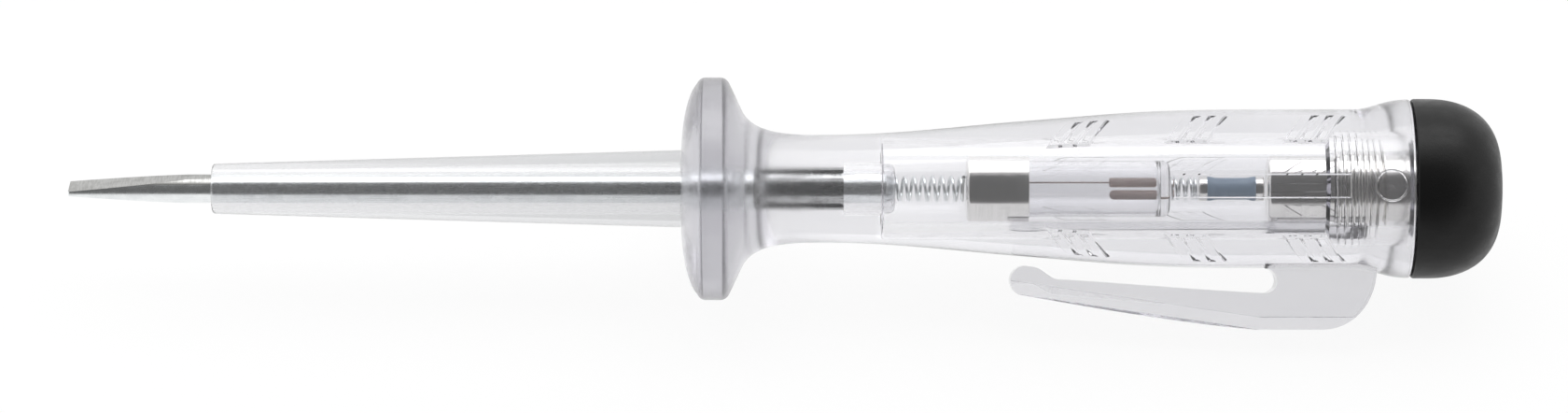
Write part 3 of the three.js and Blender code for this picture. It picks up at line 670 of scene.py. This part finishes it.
@dataclass
class BladeAndSleeve:
    """The blade, ground flat at its tip and fluted where the handle holds it, and its sleeve."""

    shank_radius: float = 1.5
    length: float = 86.0
    tip_half_thickness: float = 0.25
    bevel_length: float = 14.5
    tip_turn: float = math.radians(22.0)
    flute_span: Pair = (71.2, 81.2)
    flute_count: int = 4
    flute_turn: float = math.radians(45.0)
    flute_half_angle: float = math.radians(24.0)
    flute_depth: float = 0.38
    flute_lead: float = 0.6
    ground_facing: float = 0.25
    sleeve_span: Pair = (15.0, 64.15)
    sleeve_radii: Pair = (2.625, 4.05)
    sleeve_bore: float = 1.8
    sleeve_edge: float = 0.4

    def build(self) -> None:
        """Makes both pieces."""
        seat(self._blade(), Body.HANDLE, "blade")
        seat(self._sleeve(), Body.HANDLE, "blade_sleeve")

    def _blade(self) -> bpy.types.Object:
        """The shank with its flutes and ground tip.

        Returns:
            The blade.
        """
        radius = self.shank_radius
        front, rear = self.flute_span
        rings = (15.0, 40.0, 63.0, front - self.flute_lead, front, front + 0.3, rear - 0.3, rear)
        section = Outline().to((0.0, 0.0), (0.0, radius - 0.1), (0.1, radius))
        section.to(*((x, radius) for x in rings))
        section.to((self.length - 0.35, radius), (self.length, radius - 0.35), (self.length, 0.0))
        work = Shaper.turned(section, 120)
        for vert in work.verts:
            if front < vert.co.x < rear:
                self._sink_flute(vert)
        slope = (radius - self.tip_half_thickness) / self.bevel_length
        for turn in (self.tip_turn, self.tip_turn + math.pi):
            out = Matrix.Rotation(turn, 3, "X") @ Vector((0.0, 0.0, 1.0))
            done = bmesh.ops.bisect_plane(
                work, geom=[*work.verts, *work.edges, *work.faces], plane_co=out * self.tip_half_thickness,
                plane_no=out - slope * Vector((1.0, 0.0, 0.0)), clear_outer=True,
            )
            rim = [item for item in done["geom_cut"] if isinstance(item, bmesh.types.BMEdge)]
            bmesh.ops.edgeloop_fill(work, edges=rim, mat_nr=BladeCoat.GROUND.value)
        bmesh.ops.recalc_face_normals(work, faces=work.faces)
        for face in work.faces:
            middle = face.calc_center_median().x
            if front - self.flute_lead < middle < rear + 0.1:
                face.material_index = BladeCoat.FLUTED.value
            elif middle < self.sleeve_span[0] and face.normal.z > self.ground_facing:
                face.material_index = BladeCoat.GROUND.value
        coats = [Finishes.GROUND, Finishes.FLUTED]
        return Shaper.finished("tester_blade", work, Finishes.STEEL, 25.0, coats)

    def _sink_flute(self, vert: bmesh.types.BMVert) -> None:
        """Moves a point of the shank inwards where it lies in a flute.

        Args:
            vert: The point.
        """
        angle = math.atan2(-vert.co.y, vert.co.z) - self.flute_turn
        step = 2 * math.pi / self.flute_count
        off = abs((angle + step / 2) % step - step / 2)
        if off < self.flute_half_angle:
            share = math.cos(math.pi / 2 * off / self.flute_half_angle) ** 0.5
            shrink = 1.0 - self.flute_depth * share / self.shank_radius
            vert.co.yz = vert.co.yz * shrink

    def _sleeve(self) -> bpy.types.Object:
        """The tapered tube over the blade.

        Returns:
            The sleeve.
        """
        front, rear = self.sleeve_span
        small, large = self.sleeve_radii
        edge = self.sleeve_edge
        section = Outline().to((front, self.sleeve_bore + 0.1), (front, small - edge))
        section.edge((front, small), (front + edge, small)).to((rear, large), (rear, self.sleeve_bore))
        section.to((front + 0.1, self.sleeve_bore))
        return Shaper.finished("tester_sleeve", Shaper.turned(section, 288, ring=True), Finishes.SLEEVE)


# Handle and clip


@dataclass
class Thread:
    """The screw thread between the stud and the handle."""

    major: float = 4.0
    minor: float = 3.6
    pitch: float = 0.75
    crest: float = 0.11
    base: float = 0.45
    span: Pair = (132.4, 140.5)

    def ridge(self, start: float, turns: float) -> bmesh.types.BMesh:
        """A wound ridge of the thread.

        Args:
            start: Place of its first turn along the axis.
            turns: Number of turns.

        Returns:
            A closed mesh whose foot lies under the root of the thread.
        """
        foot = self.minor - 0.2
        base, crest = self.base / 2, self.crest / 2
        section = [
            (start - base, foot), (start - base, self.minor), (start - crest, self.major),
            (start + crest, self.major), (start + base, self.minor), (start + base, foot),
        ]
        return Shaper.wound(section, [(turns, self.pitch)], 48)


@dataclass
class Handle:
    """The clear moulding: guard, neck, grip with pads, collar, bore and internal thread."""

    span: Pair = (64.2, 140.5)
    face_radius: float = 4.3
    guard_radius: float = 11.65
    rim_span: Pair = (66.1, 68.9)
    rim_edge: float = 0.6
    flank: Pair = (70.7, 7.87)
    neck: Pair = (78.2, 5.65)
    slope_front: Pair = (97.44, 6.88)
    slope_rear: Pair = (108.2, 7.763)
    belly: Pair = (126.31, 8.325)
    flare_span: Pair = (134.8, 140.1)
    grip_radius: float = 8.325
    collar_radius: float = 9.35
    pocket_front: float = 81.2
    pocket_radius: float = 1.9
    boss: Pair = (86.6, 2.6)
    bore_floor: float = 85.2
    bore_radius: float = 3.6
    tapped_radius: float = 4.03
    tapped_front: float = 131.9
    groove_turns: float = 7.2
    pad_rows: tuple[float, ...] = (50.0, 130.0, 230.0, 310.0)
    pad_places: tuple[float, ...] = (105.6, 117.9, 130.2)
    pad_length: float = 4.7
    pad_width: float = 4.5
    pad_slant: float = 2.4
    pad_height: float = 0.28
    pad_edge: float = 0.36
    pad_grid: tuple[int, int] = (66, 36)
    pad_root: float = 0.8
    bar_count: int = 3
    bar_gap: float = 0.3
    bar_depth: float = 0.5
    panel: tuple[float, float, float, float] = (115.3, 133.9, -1.0, 1.55)
    panel_depth: float = 0.2
    panel_slope: float = 0.15
    mark: Triple = (138.0, 0.34, 1.6)

    def outside(self, grown: float = 0.0) -> Outline:
        """The outer half section from the guard's front face to the collar.

        Args:
            grown: What is added to its radii.

        Returns:
            The half section, from axis to axis.
        """
        front, rear = self.span
        rim_front, rim_rear = self.rim_span
        grow: Callable[[Pair], Pair] = lambda point: (point[0], point[1] + grown)
        guard, collar = self.guard_radius + grown, self.collar_radius + grown
        grip = self.grip_radius + grown
        section = Outline().to((front, 0.0), (front, self.face_radius))
        soft = self.rim_edge
        section.curve((0.04, 0.42), (0.41, 0.85), (rim_front - soft * 0.4, guard - soft), 20)
        section.edge((rim_front, guard), (rim_front + soft, guard), 9).to((rim_rear - soft, guard))
        section.edge((rim_rear, guard), (rim_rear + soft / 2, guard - soft), 9)
        section.to(grow(self.flank)).curve((0.15, 0.76), (0.46, 1.0), grow(self.neck), 20)
        section.curve((0.38, 0.0), (0.59, 0.41), grow(self.slope_front), 20).to(grow(self.slope_rear))
        section.curve((0.34, 0.86), (0.63, 1.0), grow(self.belly), 20).to((self.flare_span[0], grip))
        section.curve((0.3, 0.05), (0.55, 0.95), (self.flare_span[1], collar)).to((rear - 0.25, collar))
        return section.edge((rear, collar), (rear, collar - 0.25)).to((rear, 0.0))

    def build(self) -> None:
        """Makes the moulding."""
        section = self.outside()
        section.points.pop()
        boss_x, boss_r = self.boss
        section.to((self.span[1], self.tapped_radius + 0.25), (self.span[1] - 0.25, self.tapped_radius))
        section.to((self.tapped_front, self.tapped_radius), (self.tapped_front - 0.4, self.bore_radius))
        section.to((self.bore_floor + 0.3, self.bore_radius))
        section.edge((self.bore_floor, self.bore_radius), (self.bore_floor, self.bore_radius - 0.3))
        section.to((self.bore_floor, boss_r), (boss_x - 0.7, boss_r))
        section.edge((boss_x, boss_r), (boss_x, self.pocket_radius))
        section.to((self.pocket_front, self.pocket_radius), (self.pocket_front, 0.0))
        work = Shaper.turned(section, 256)
        groove = Thread(major=self.tapped_radius + 0.07, minor=self.tapped_radius - 0.02, base=0.3)
        work = Shaper.combine(work, groove.ridge(self.tapped_front + 0.6, self.groove_turns), Cut.TAKE)
        pads = [self._pad(place, math.radians(row)) for row in self.pad_rows for place in self.pad_places]
        work = Shaper.combine(work, Shaper.joined(pads), Cut.ADD)
        work = Shaper.combine(work, self._panel_cutter(), Cut.TAKE)
        work = Shaper.combine(work, self._mark_ring(), Cut.ADD)
        seat(Shaper.finished("tester_handle", work, Finishes.PLASTIC, 28.0), Body.HANDLE, "handle")

    def _pad(self, place: float, row: float) -> bmesh.types.BMesh:
        """One grip pad with slanted bars that rise towards the rear, laid on the grip.

        Args:
            place: Its middle along the axis.
            row: Angle of its row, counted from +Y.

        Returns:
            A closed mesh that reaches into the handle.
        """
        lean = math.copysign(self.pad_slant / 2, math.sin(row) * math.cos(row))
        outside = self.outside()
        work = bmesh.new()
        bmesh.ops.create_grid(work, x_segments=self.pad_grid[0], y_segments=self.pad_grid[1], size=1.0)
        for vert in work.verts:
            along, across = vert.co.x, vert.co.y
            bar = ((along + 1.0) / 2 * self.bar_count) % 1.0
            inside = min((1.0 - abs(along)) * self.pad_length, (1.0 - abs(across)) * self.pad_width) / 2
            rim = min(1.0, inside / self.pad_edge)
            dip = max(0.0, 1.0 - min(bar, 1.0 - bar) / self.bar_gap) if inside > 1.2 * self.pad_edge else 0.0
            height = self.pad_height * (eased(rim) * (1.0 - self.bar_depth * eased(dip))) - 0.03
            x = place + along * self.pad_length / 2 + across * lean
            radius = outside.radius_at(x)
            angle = row + across * self.pad_width / 2 / self.grip_radius
            vert.co = (x, (radius + height) * math.cos(angle), (radius + height) * math.sin(angle))
        sunk = bmesh.ops.extrude_face_region(work, geom=work.faces[:], use_keep_orig=True)
        for vert in (item for item in sunk["geom"] if isinstance(item, bmesh.types.BMVert)):
            radius = outside.radius_at(vert.co.x) - self.pad_root
            vert.co.yz = vert.co.yz.normalized() * radius
        bmesh.ops.recalc_face_normals(work, faces=work.faces)
        return work

    def _panel_cutter(self) -> bmesh.types.BMesh:
        """The space over a plain shallow panel on the grip's near side, which follows the grip's curve.

        Returns:
            A closed mesh to take away.
        """
        front, rear, low, high = self.panel
        outside = self.outside()
        middle = Vector(((front + rear) / 2, (low + high) / 2))
        half = Vector(((rear - front) / 2, (high - low) / 2))
        work = bmesh.new()
        made = bmesh.ops.create_grid(work, x_segments=60, y_segments=16, size=1.0)
        bmesh.ops.extrude_face_region(work, geom=work.faces[:], use_keep_orig=True)
        bottoms = set(made["verts"])
        for vert in work.verts:
            grown = -self.panel_slope if vert in bottoms else self.panel_slope * 2.5
            rise = -self.panel_depth if vert in bottoms else self.panel_depth * 2.5
            x = middle.x + vert.co.x * (half.x + grown)
            z = middle.y + vert.co.y * (half.y + grown)
            vert.co = (x, -math.sqrt((outside.radius_at(x) + rise) ** 2 - z**2), z)
        bmesh.ops.recalc_face_normals(work, faces=work.faces)
        return work

    def _mark_ring(self) -> bmesh.types.BMesh:
        """A plain raised ring on the flare behind the panel.

        Returns:
            A closed mesh to add.
        """
        x, z, radius = self.mark
        work = bmesh.new()
        made = bmesh.ops.create_circle(work, segments=10, radius=0.11)
        bmesh.ops.translate(work, verts=made["verts"], vec=(radius, 0.0, 0.0))
        bmesh.ops.spin(
            work, geom=[*work.verts, *work.edges], cent=(0, 0, 0), axis=(0, 1, 0), angle=2 * math.pi,
            steps=64, use_merge=True,
        )
        bmesh.ops.remove_doubles(work, verts=work.verts, dist=1e-5)
        outside = self.outside()
        for vert in work.verts:
            surface = outside.radius_at(x + vert.co.x)
            rise = vert.co.z + z
            vert.co = (x + vert.co.x, -math.sqrt(surface**2 - rise**2) + vert.co.y, rise)
        bmesh.ops.recalc_face_normals(work, faces=work.faces)
        return work


@dataclass
class PocketClip:
    """The clip: a thick root on the grip and a thin arm that bends at the end of its slot."""

    width: float = 6.0
    reach: float = 14.74
    inner: float = 10.925
    rear: float = 136.9
    rear_curve: float = 5.6
    slot_end: float = 126.5
    flex: float = 124.7
    tip: Pair = (100.17, 9.63)
    tip_radius: float = 1.57
    cove: Pair = (103.97, 9.5)
    root: float = 6.0
    chamfer: float = 1.3
    seam: float = 0.03
    edge_mm: float = 0.18

    def build(self, handle: Handle) -> None:
        """Makes the clip.

        Args:
            handle: The moulding that it stands on.
        """
        work = Shaper.plate(self._outline(handle), self.width)
        for hand in (-1, 1):
            for start, end in self._bevel_runs():
                work = Shaper.combine(work, self._bevel(start, end, hand), Cut.TAKE)
        work = Shaper.combine(work, Shaper.turned(handle.outside(self.seam), 160), Cut.TAKE)
        piece = Shaper.finished("tester_clip", work, Finishes.CLIP, 28.0)
        soften = piece.modifiers.new("edges", "BEVEL")
        soften.width, soften.segments, soften.limit_method = self.edge_mm / 1000.0, 2, "ANGLE"
        soften.angle_limit = math.radians(28.0)
        start, end = (TO_FRAME @ Vector((x, 0.0, -self.inner)) for x in (self.slot_end, self.flex - 3.0))
        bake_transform(piece)
        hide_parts("pocket_clip")

    def _outline(self, handle: Handle) -> list[Pair]:
        """The clip's side view, with its root running into the handle.

        Args:
            handle: The moulding that it stands on.

        Returns:
            Places along the axis and heights, once round.
        """
        slot_radius = (self.inner - handle.grip_radius) / 2
        slot_x = self.slot_end - slot_radius
        tip_x, tip_z = self.tip
        side = Outline().to((self.flex, -self.reach), (self.rear - self.rear_curve, -self.reach))
        side.curve((0.6, 0.0), (1.0, 0.5), (self.rear, -handle.grip_radius))
        side.to((self.rear, -self.root), (slot_x, -self.root), (slot_x, -handle.grip_radius))
        for step in range(1, 17):
            angle = math.pi / 2 - math.pi * step / 16
            slot_z = -handle.grip_radius - slot_radius + slot_radius * math.sin(angle)
            side.to((slot_x + slot_radius * math.cos(angle), slot_z))
        side.curve((0.35, 0.25), (0.7, 0.75), (self.cove[0], -self.cove[1]), 24)
        side.curve((0.4, -0.1), (0.6, 1.05), (tip_x + 0.5, -tip_z + self.tip_radius - 0.08), 10)
        for step in range(0, 17):
            angle = math.radians(84) + math.radians(186) * step / 16
            side.to((tip_x + self.tip_radius * math.cos(angle), -tip_z + self.tip_radius * math.sin(angle)))
        side.curve((0.35, 0.42), (0.7, 0.82), (self.flex - 0.4, -self.reach), 24)
        return side.points

    def _bevel_runs(self) -> list[tuple[Pair, Pair]]:
        """The straight runs that the lower edges' bevels follow.

        Returns:
            Start and end of each run, as places along the axis and depths.
        """
        tip_x, tip_z = self.tip
        under = tip_z + self.tip_radius
        return [
            ((tip_x - 3.0, under - 0.5), (self.flex, self.reach)),
            ((self.flex, self.reach), (self.rear + 2.0, self.reach)),
        ]

    def _bevel(self, start: Pair, end: Pair, hand: int) -> bmesh.types.BMesh:
        """A block that cuts one lower edge of the clip at a slant.

        Args:
            start: Where its run begins.
            end: Where its run ends.
            hand: -1 or 1, the side of the clip.

        Returns:
            A closed mesh to take away.
        """
        run = Vector((end[0] - start[0], 0.0, start[1] - end[1]))
        side = self.chamfer * math.sqrt(2.0)
        middle = Vector(((start[0] + end[0]) / 2, hand * self.width / 2, -(start[1] + end[1]) / 2))
        tilt = Matrix.Rotation(math.atan2(end[1] - start[1], end[0] - start[0]), 4, "Y")
        turn = Matrix.Translation(middle) @ tilt @ Matrix.Rotation(math.pi / 4, 4, "X")
        return Shaper.box((run.length + 0.02, side, side), turn)


# Lamp train


@dataclass
class LampTrain:
    """The springs, the lamp and the resistor in the bore."""

    lamp_span: Pair = (94.15, 115.35)
    cap_length: float = 6.5
    cap_radius: float = 3.45
    glass_radius: float = 2.95
    glass_wall: float = 0.5
    electrode_radius: float = 0.5
    lead_radius: float = 0.08
    electrode_span: Pair = (109.15, 114.25)
    electrode_off: float = 0.65
    resistor_span: Pair = (118.35, 125.15)
    resistor_radius: float = 1.3
    front_spring: Pair = (86.05, 94.1)
    front_coil: float = 1.22
    front_wire: float = 0.18
    rear_spring: Pair = (115.4, 118.3)
    rear_coil: float = 1.1
    rear_wire: float = 0.15

    def build(self) -> None:
        """Makes all the pieces of the train."""
        front, rear = self.lamp_span
        seat(self._cup("lamp_cup", front), Body.LAMP, "lamp_cap")
        seat(self._glass(), Body.LAMP, "lamp_glass")
        seat(self._electrode("upper_electrode", front + 0.8, 1), Body.LAMP, "lamp_upper_electrode")
        seat(self._electrode("lower_electrode", rear, -1), Body.LAMP, "lamp_lower_electrode")
        self._resistor()
        coil = self._spring("rear_spring", self.rear_spring, self.rear_coil, self.rear_wire, 2.6)
        seat(coil, Body.LAMP, "rear_contact_spring")
        coil = self._spring("front_spring", self.front_spring, self.front_coil, self.front_wire, 7.0)
        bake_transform(coil)
        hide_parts("front_contact_spring")

    def _cup(self, name: str, floor: float) -> bpy.types.Object:
        """The drawn metal cup over the front of the lamp.

        Args:
            name: The piece's name.
            floor: Place of its floor.

        Returns:
            The cup.
        """
        radius, wall, edge, mouth = self.cap_radius, 0.35, 0.35, floor + self.cap_length
        section = Outline().to((floor, 0.0), (floor, radius - edge))
        section.edge((floor, radius), (floor + edge, radius)).to((mouth - 0.08, radius))
        section.edge((mouth, radius), (mouth, radius - 0.08))
        section.to((mouth, radius - wall), (floor + 0.5, radius - wall), (floor + 0.5, 0.0))
        return Shaper.finished(name, Shaper.turned(section), Finishes.NICKEL)

    def _glass(self) -> bpy.types.Object:
        """The lamp's tube with rounded ends.

        Returns:
            The tube.
        """
        front, rear = self.lamp_span[0] + 0.8, self.lamp_span[1]
        outer, inner = self.glass_radius, self.glass_radius - self.glass_wall
        section = Outline().to((front, 0.0), (front, outer - 0.8)).edge((front, outer), (front + 0.8, outer))
        section.to((rear - 0.8, outer)).edge((rear, outer), (rear, outer - 0.8)).to((rear, 0.0))
        tube = Shaper.turned(section)
        hollow = Outline().to((front + 1.0, 0.0), (front + 1.0, inner - 0.6))
        hollow.edge((front + 1.0, inner), (front + 1.6, inner)).to((rear - 1.6, inner))
        hollow.edge((rear - 1.0, inner), (rear - 1.0, inner - 0.6)).to((rear - 1.0, 0.0))
        space = Shaper.turned(hollow)
        bmesh.ops.reverse_faces(space, faces=space.faces)
        return Shaper.finished("lamp_tube", Shaper.joined([tube, space]), Finishes.GLASS)

    def _electrode(self, name: str, lead_end: float, side: int) -> bpy.types.Object:
        """A rod in the lamp with its lead to one end.

        Args:
            name: The piece's name.
            lead_end: Where the lead ends.
            side: 1 above the axis, -1 below it.

        Returns:
            The electrode.
        """
        far, near = self.electrode_span
        way = math.copysign(1.0, lead_end - far)
        if way < 0:
            far, near = near, far
        rod, lead = self.electrode_radius, self.lead_radius
        section = Outline().to((far, 0.0)).edge((far, rod), (far + way * rod, rod))
        section.to((near - way * 0.1, rod))
        section.to((near, rod - 0.1), (near, lead), (lead_end, lead), (lead_end, 0.0))
        work = Shaper.turned(section, 32)
        bmesh.ops.translate(work, verts=work.verts, vec=(0.0, 0.0, side * self.electrode_off))
        return Shaper.finished(name, work, Finishes.COPPER)

    def _resistor(self) -> None:
        """The lacquered body and its two metal ends."""
        front, rear = self.resistor_span
        radius = self.resistor_radius
        waist = radius - 0.16
        body = Outline().to((front + 0.6, 0.0), (front + 0.6, radius - 0.06), (front + 1.0, radius - 0.02))
        body.curve((0.5, 0.0), (0.5, 1.0), (front + 2.0, waist), 8).to((rear - 2.0, waist))
        body.curve((0.5, 0.0), (0.5, 1.0), (rear - 1.0, radius - 0.02), 8)
        body.to((rear - 0.6, radius - 0.06), (rear - 0.6, 0.0))
        coat = Shaper.finished("resistor_coat", Shaper.turned(body), Finishes.LACQUER)
        seat(coat, Body.LAMP, "resistor_body")
        for name, node, floor, way in (
            ("resistor_front_end", "resistor_front_cap", front, 1.0),
            ("resistor_rear_end", "resistor_rear_cap", rear, -1.0),
        ):
            cap = Outline().to((floor, 0.0), (floor, radius - 0.2))
            cap.edge((floor, radius), (floor + way * 0.2, radius)).to((floor + way * 0.85, radius))
            mouth = floor + way * 0.9
            cap.edge((mouth, radius), (mouth, radius - 0.1)).to((mouth, 0.0))
            seat(Shaper.finished(name, Shaper.turned(cap), Finishes.NICKEL), Body.LAMP, node)

    @staticmethod
    def _spring(name: str, span: Pair, coil: float, wire: float, turns: float) -> bpy.types.Object:
        """A contact spring with a flat coil at each end.

        Args:
            name: The piece's name.
            span: Where it begins and ends along the axis.
            coil: Radius of the coil at the middle of the wire.
            wire: Radius of the wire.
            turns: Number of open turns.

        Returns:
            The spring.
        """
        shut = 2.05 * wire
        climb = (span[1] - span[0] - 2 * wire - 2 * shut) / turns
        angles = [2 * math.pi * k / 12 for k in range(12)]
        ring = [(span[0] + wire + wire * math.cos(a), coil + wire * math.sin(a)) for a in angles]
        work = Shaper.wound(ring, [(1.0, shut), (turns, climb), (1.0, shut)])
        return Shaper.finished(name, work, Finishes.SPRING, 50.0)


# Screw cap


@dataclass
class ScrewCap:
    """The stud with its thread, the black cap and the touch contact."""

    stud_span: Pair = (125.45, 146.65)
    nose_radius: float = 3.45
    nose_rear: float = 132.4
    hex_radius: float = 3.4
    cap_span: Pair = (140.65, 150.0)
    cap_radius: float = 9.4
    cap_side: float = 1.75
    seat_radius: float = 2.95
    contact_face: float = 149.8
    contact_radius: float = 2.8
    thread_turns: float = 7.4

    def build(self) -> None:
        """Makes the three pieces."""
        seat(self._stud(), Body.CAP, "contact_stud")
        seat(self._cap(), Body.CAP, "end_cap")
        seat(self._contact(), Body.CAP, "touch_contact")

    def _stud(self) -> bpy.types.Object:
        """The bright nose, the threaded length and the hexagon in the cap.

        Returns:
            The stud.
        """
        thread = Thread()
        front, rear = self.stud_span
        core = thread.minor - 0.02
        nose = self.nose_radius
        section = Outline().to((front, 0.0), (front, nose - 0.4))
        section.edge((front, nose), (front + 0.4, nose)).to((self.nose_rear, nose))
        section.to((self.nose_rear + 0.15, core), (thread.span[1], core), (thread.span[1], 0.0))
        shank = Shaper.turned(section)
        ridge = thread.ridge(thread.span[0] + 0.35, self.thread_turns)
        hexagon = Outline().to((thread.span[1] - 0.5, 0.0), (thread.span[1] - 0.5, self.hex_radius))
        hexagon.to((rear, self.hex_radius), (rear, 0.0))
        parts = [shank, ridge, Shaper.turned(hexagon, 6)]
        return Shaper.finished("contact_screw", Shaper.joined(parts), Finishes.NICKEL)

    def _cap(self) -> bpy.types.Object:
        """The domed cap with the contact's seat in its rear face.

        Returns:
            The cap.
        """
        front, rear = self.cap_span
        radius, hole = self.cap_radius, self.seat_radius
        section = Outline().to((front, 0.0), (front, radius - 0.3))
        section.edge((front, radius), (front + 0.3, radius)).to((front + self.cap_side, radius))
        section.curve((0.54, 0.0), (0.95, 0.31), (rear, hole + 0.3), 40)
        section.edge((rear, hole), (rear - 0.15, hole)).to((rear - 1.4, hole), (rear - 1.4, 0.0))
        return Shaper.finished("screw_cap_shell", Shaper.turned(section, 160), Finishes.BLACK)

    def _contact(self) -> bpy.types.Object:
        """The slightly domed metal button.

        Returns:
            The button.
        """
        face, radius = self.contact_face, self.contact_radius
        section = Outline().to((face - 1.2, 0.0), (face - 1.2, radius), (face - 0.3, radius))
        section.edge((face - 0.05, radius), (face - 0.02, radius - 0.3)).to((face, radius - 1.2), (face, 0.0))
        return Shaper.finished("touch_button", Shaper.turned(section), Finishes.NICKEL)


# Studio


@dataclass
class Studio:
    """A white table and tent, open towards the photographer, and the camera."""

    camera_elevation: float = math.radians(45.0)
    camera_distance: float = 0.783
    focal_share: float = 8000.0 / 1680.0
    aim_mm: Pair = (-0.05, -1.86)
    tent: float = 1.2
    dark: float = 0.13
    dark_angles: Pair = (math.radians(36.0), math.radians(56.0))
    floor_glow: float = 0.92
    floor_size: float = 6.0
    lamp_size: Pair = (1.6, 0.9)
    lamp_power: float = 9.0
    lamp_place: Triple = (0.0, 0.55, 1.2)

    def build(self) -> None:
        """Sets up the whole studio."""
        bpy.context.scene.view_settings.view_transform = "Standard"
        self._world()
        self._floor()
        self._lamp()
        self._camera()

    def _seen(self, graph: Graph) -> Value:
        """Tells which rays see the table as plain white.

        Args:
            graph: The table's nodes.

        Returns:
            1 for rays from the camera, from gloss and through clear pieces, else 0.
        """
        path = graph.node("ShaderNodeLightPath", output="Is Camera Ray")
        outputs = path.socket.node.outputs
        glossy, through = (Value(graph, outputs[name]) for name in ("Is Glossy Ray", "Is Transmission Ray"))
        return path.larger(glossy).larger(through)

    def _world(self) -> None:
        """Bright tent behind and above, dark room on the photographer's side."""
        world = bpy.data.worlds.new("tent")
        bpy.context.scene.world = world
        world.use_nodes = True
        world.node_tree.nodes.clear()
        graph = Graph(world.node_tree)
        way = graph.node("ShaderNodeTexCoord", output="Generated")
        back = (0.0, -math.cos(self.camera_elevation), math.sin(self.camera_elevation))
        settings = {"operation": "DOT_PRODUCT"}
        facing = graph.node("ShaderNodeVectorMath", settings, {0: way, 1: back}, output="Value")
        near, far = (math.cos(angle) for angle in self.dark_angles)
        level = facing.ramp(far, near, self.tent, self.dark)
        camera = graph.node("ShaderNodeLightPath", output="Is Camera Ray")
        level = level * (1.0 - camera) + camera
        shown = graph.node("ShaderNodeBackground", None, {"Color": (1.0, 1.0, 1.0, 1.0), "Strength": level})
        graph.node("ShaderNodeOutputWorld", None, {"Surface": shown})

    def _floor(self) -> None:
        """A white table that keeps a faint shadow."""
        work = bmesh.new()
        bmesh.ops.create_grid(work, x_segments=2, y_segments=2, size=self.floor_size / 2)
        bmesh.ops.translate(work, verts=work.verts, vec=(0.0, 0.0, -0.0002))
        mesh = bpy.data.meshes.new("table")
        work.to_mesh(mesh)
        work.free()
        table = bpy.data.objects.new("table", mesh)
        bpy.context.scene.collection.objects.link(table)
        coat = bpy.data.materials.new("table_white")
        coat.use_nodes = True
        coat.node_tree.nodes.clear()
        graph = Graph(coat.node_tree)
        lit = graph.node("ShaderNodeBsdfDiffuse", None, {"Color": (0.94, 0.94, 0.94, 1.0)})
        glow = graph.node("ShaderNodeEmission", None, {"Color": (1.0, 1.0, 1.0, 1.0), "Strength": 1.0})
        share = self._seen(graph) * self.floor_glow
        mixed = graph.node("ShaderNodeMixShader", None, {0: share, 1: lit, 2: glow})
        graph.node("ShaderNodeOutputMaterial", None, {"Surface": mixed})
        mesh.materials.append(coat)

    def _lamp(self) -> None:
        """A large soft lamp above and behind."""
        light = bpy.data.lights.new("soft_box", "AREA")
        light.shape, light.energy = "RECTANGLE", self.lamp_power
        light.size, light.size_y = self.lamp_size
        lamp = bpy.data.objects.new("soft_box", light)
        bpy.context.scene.collection.objects.link(lamp)
        lamp.location = self.lamp_place
        lamp.rotation_euler = (-lamp.location).to_track_quat("-Z", "Y").to_euler()

    def _camera(self) -> None:
        """A long lens at the height and distance of the photograph."""
        view = bpy.data.cameras.new("camera")
        view.sensor_width = 36.0
        view.lens = 36.0 * self.focal_share
        camera = bpy.data.objects.new("camera", view)
        bpy.context.scene.collection.objects.link(camera)
        turn = self.camera_elevation
        back = Vector((0.0, -math.cos(turn), math.sin(turn)))
        up = Vector((0.0, math.sin(turn), math.cos(turn)))
        aim = Vector((self.aim_mm[0], 0.0, AXIS_HEIGHT)) / 1000.0 + up * self.aim_mm[1] / 1000.0
        camera.location = aim + back * self.camera_distance
        camera.rotation_euler = (-back).to_track_quat("-Z", "Y").to_euler()
        bpy.context.scene.camera = camera


def main() -> None:
    """Builds every piece in order."""
    logging.basicConfig(level=logging.INFO, format="%(name)s %(message)s")
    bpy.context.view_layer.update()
    Studio().build()
    handle = Handle()
    BladeAndSleeve().build()
    handle.build()
    PocketClip().build(handle)
    LampTrain().build()
    ScrewCap().build()


if __name__ == "__main__":
    main()
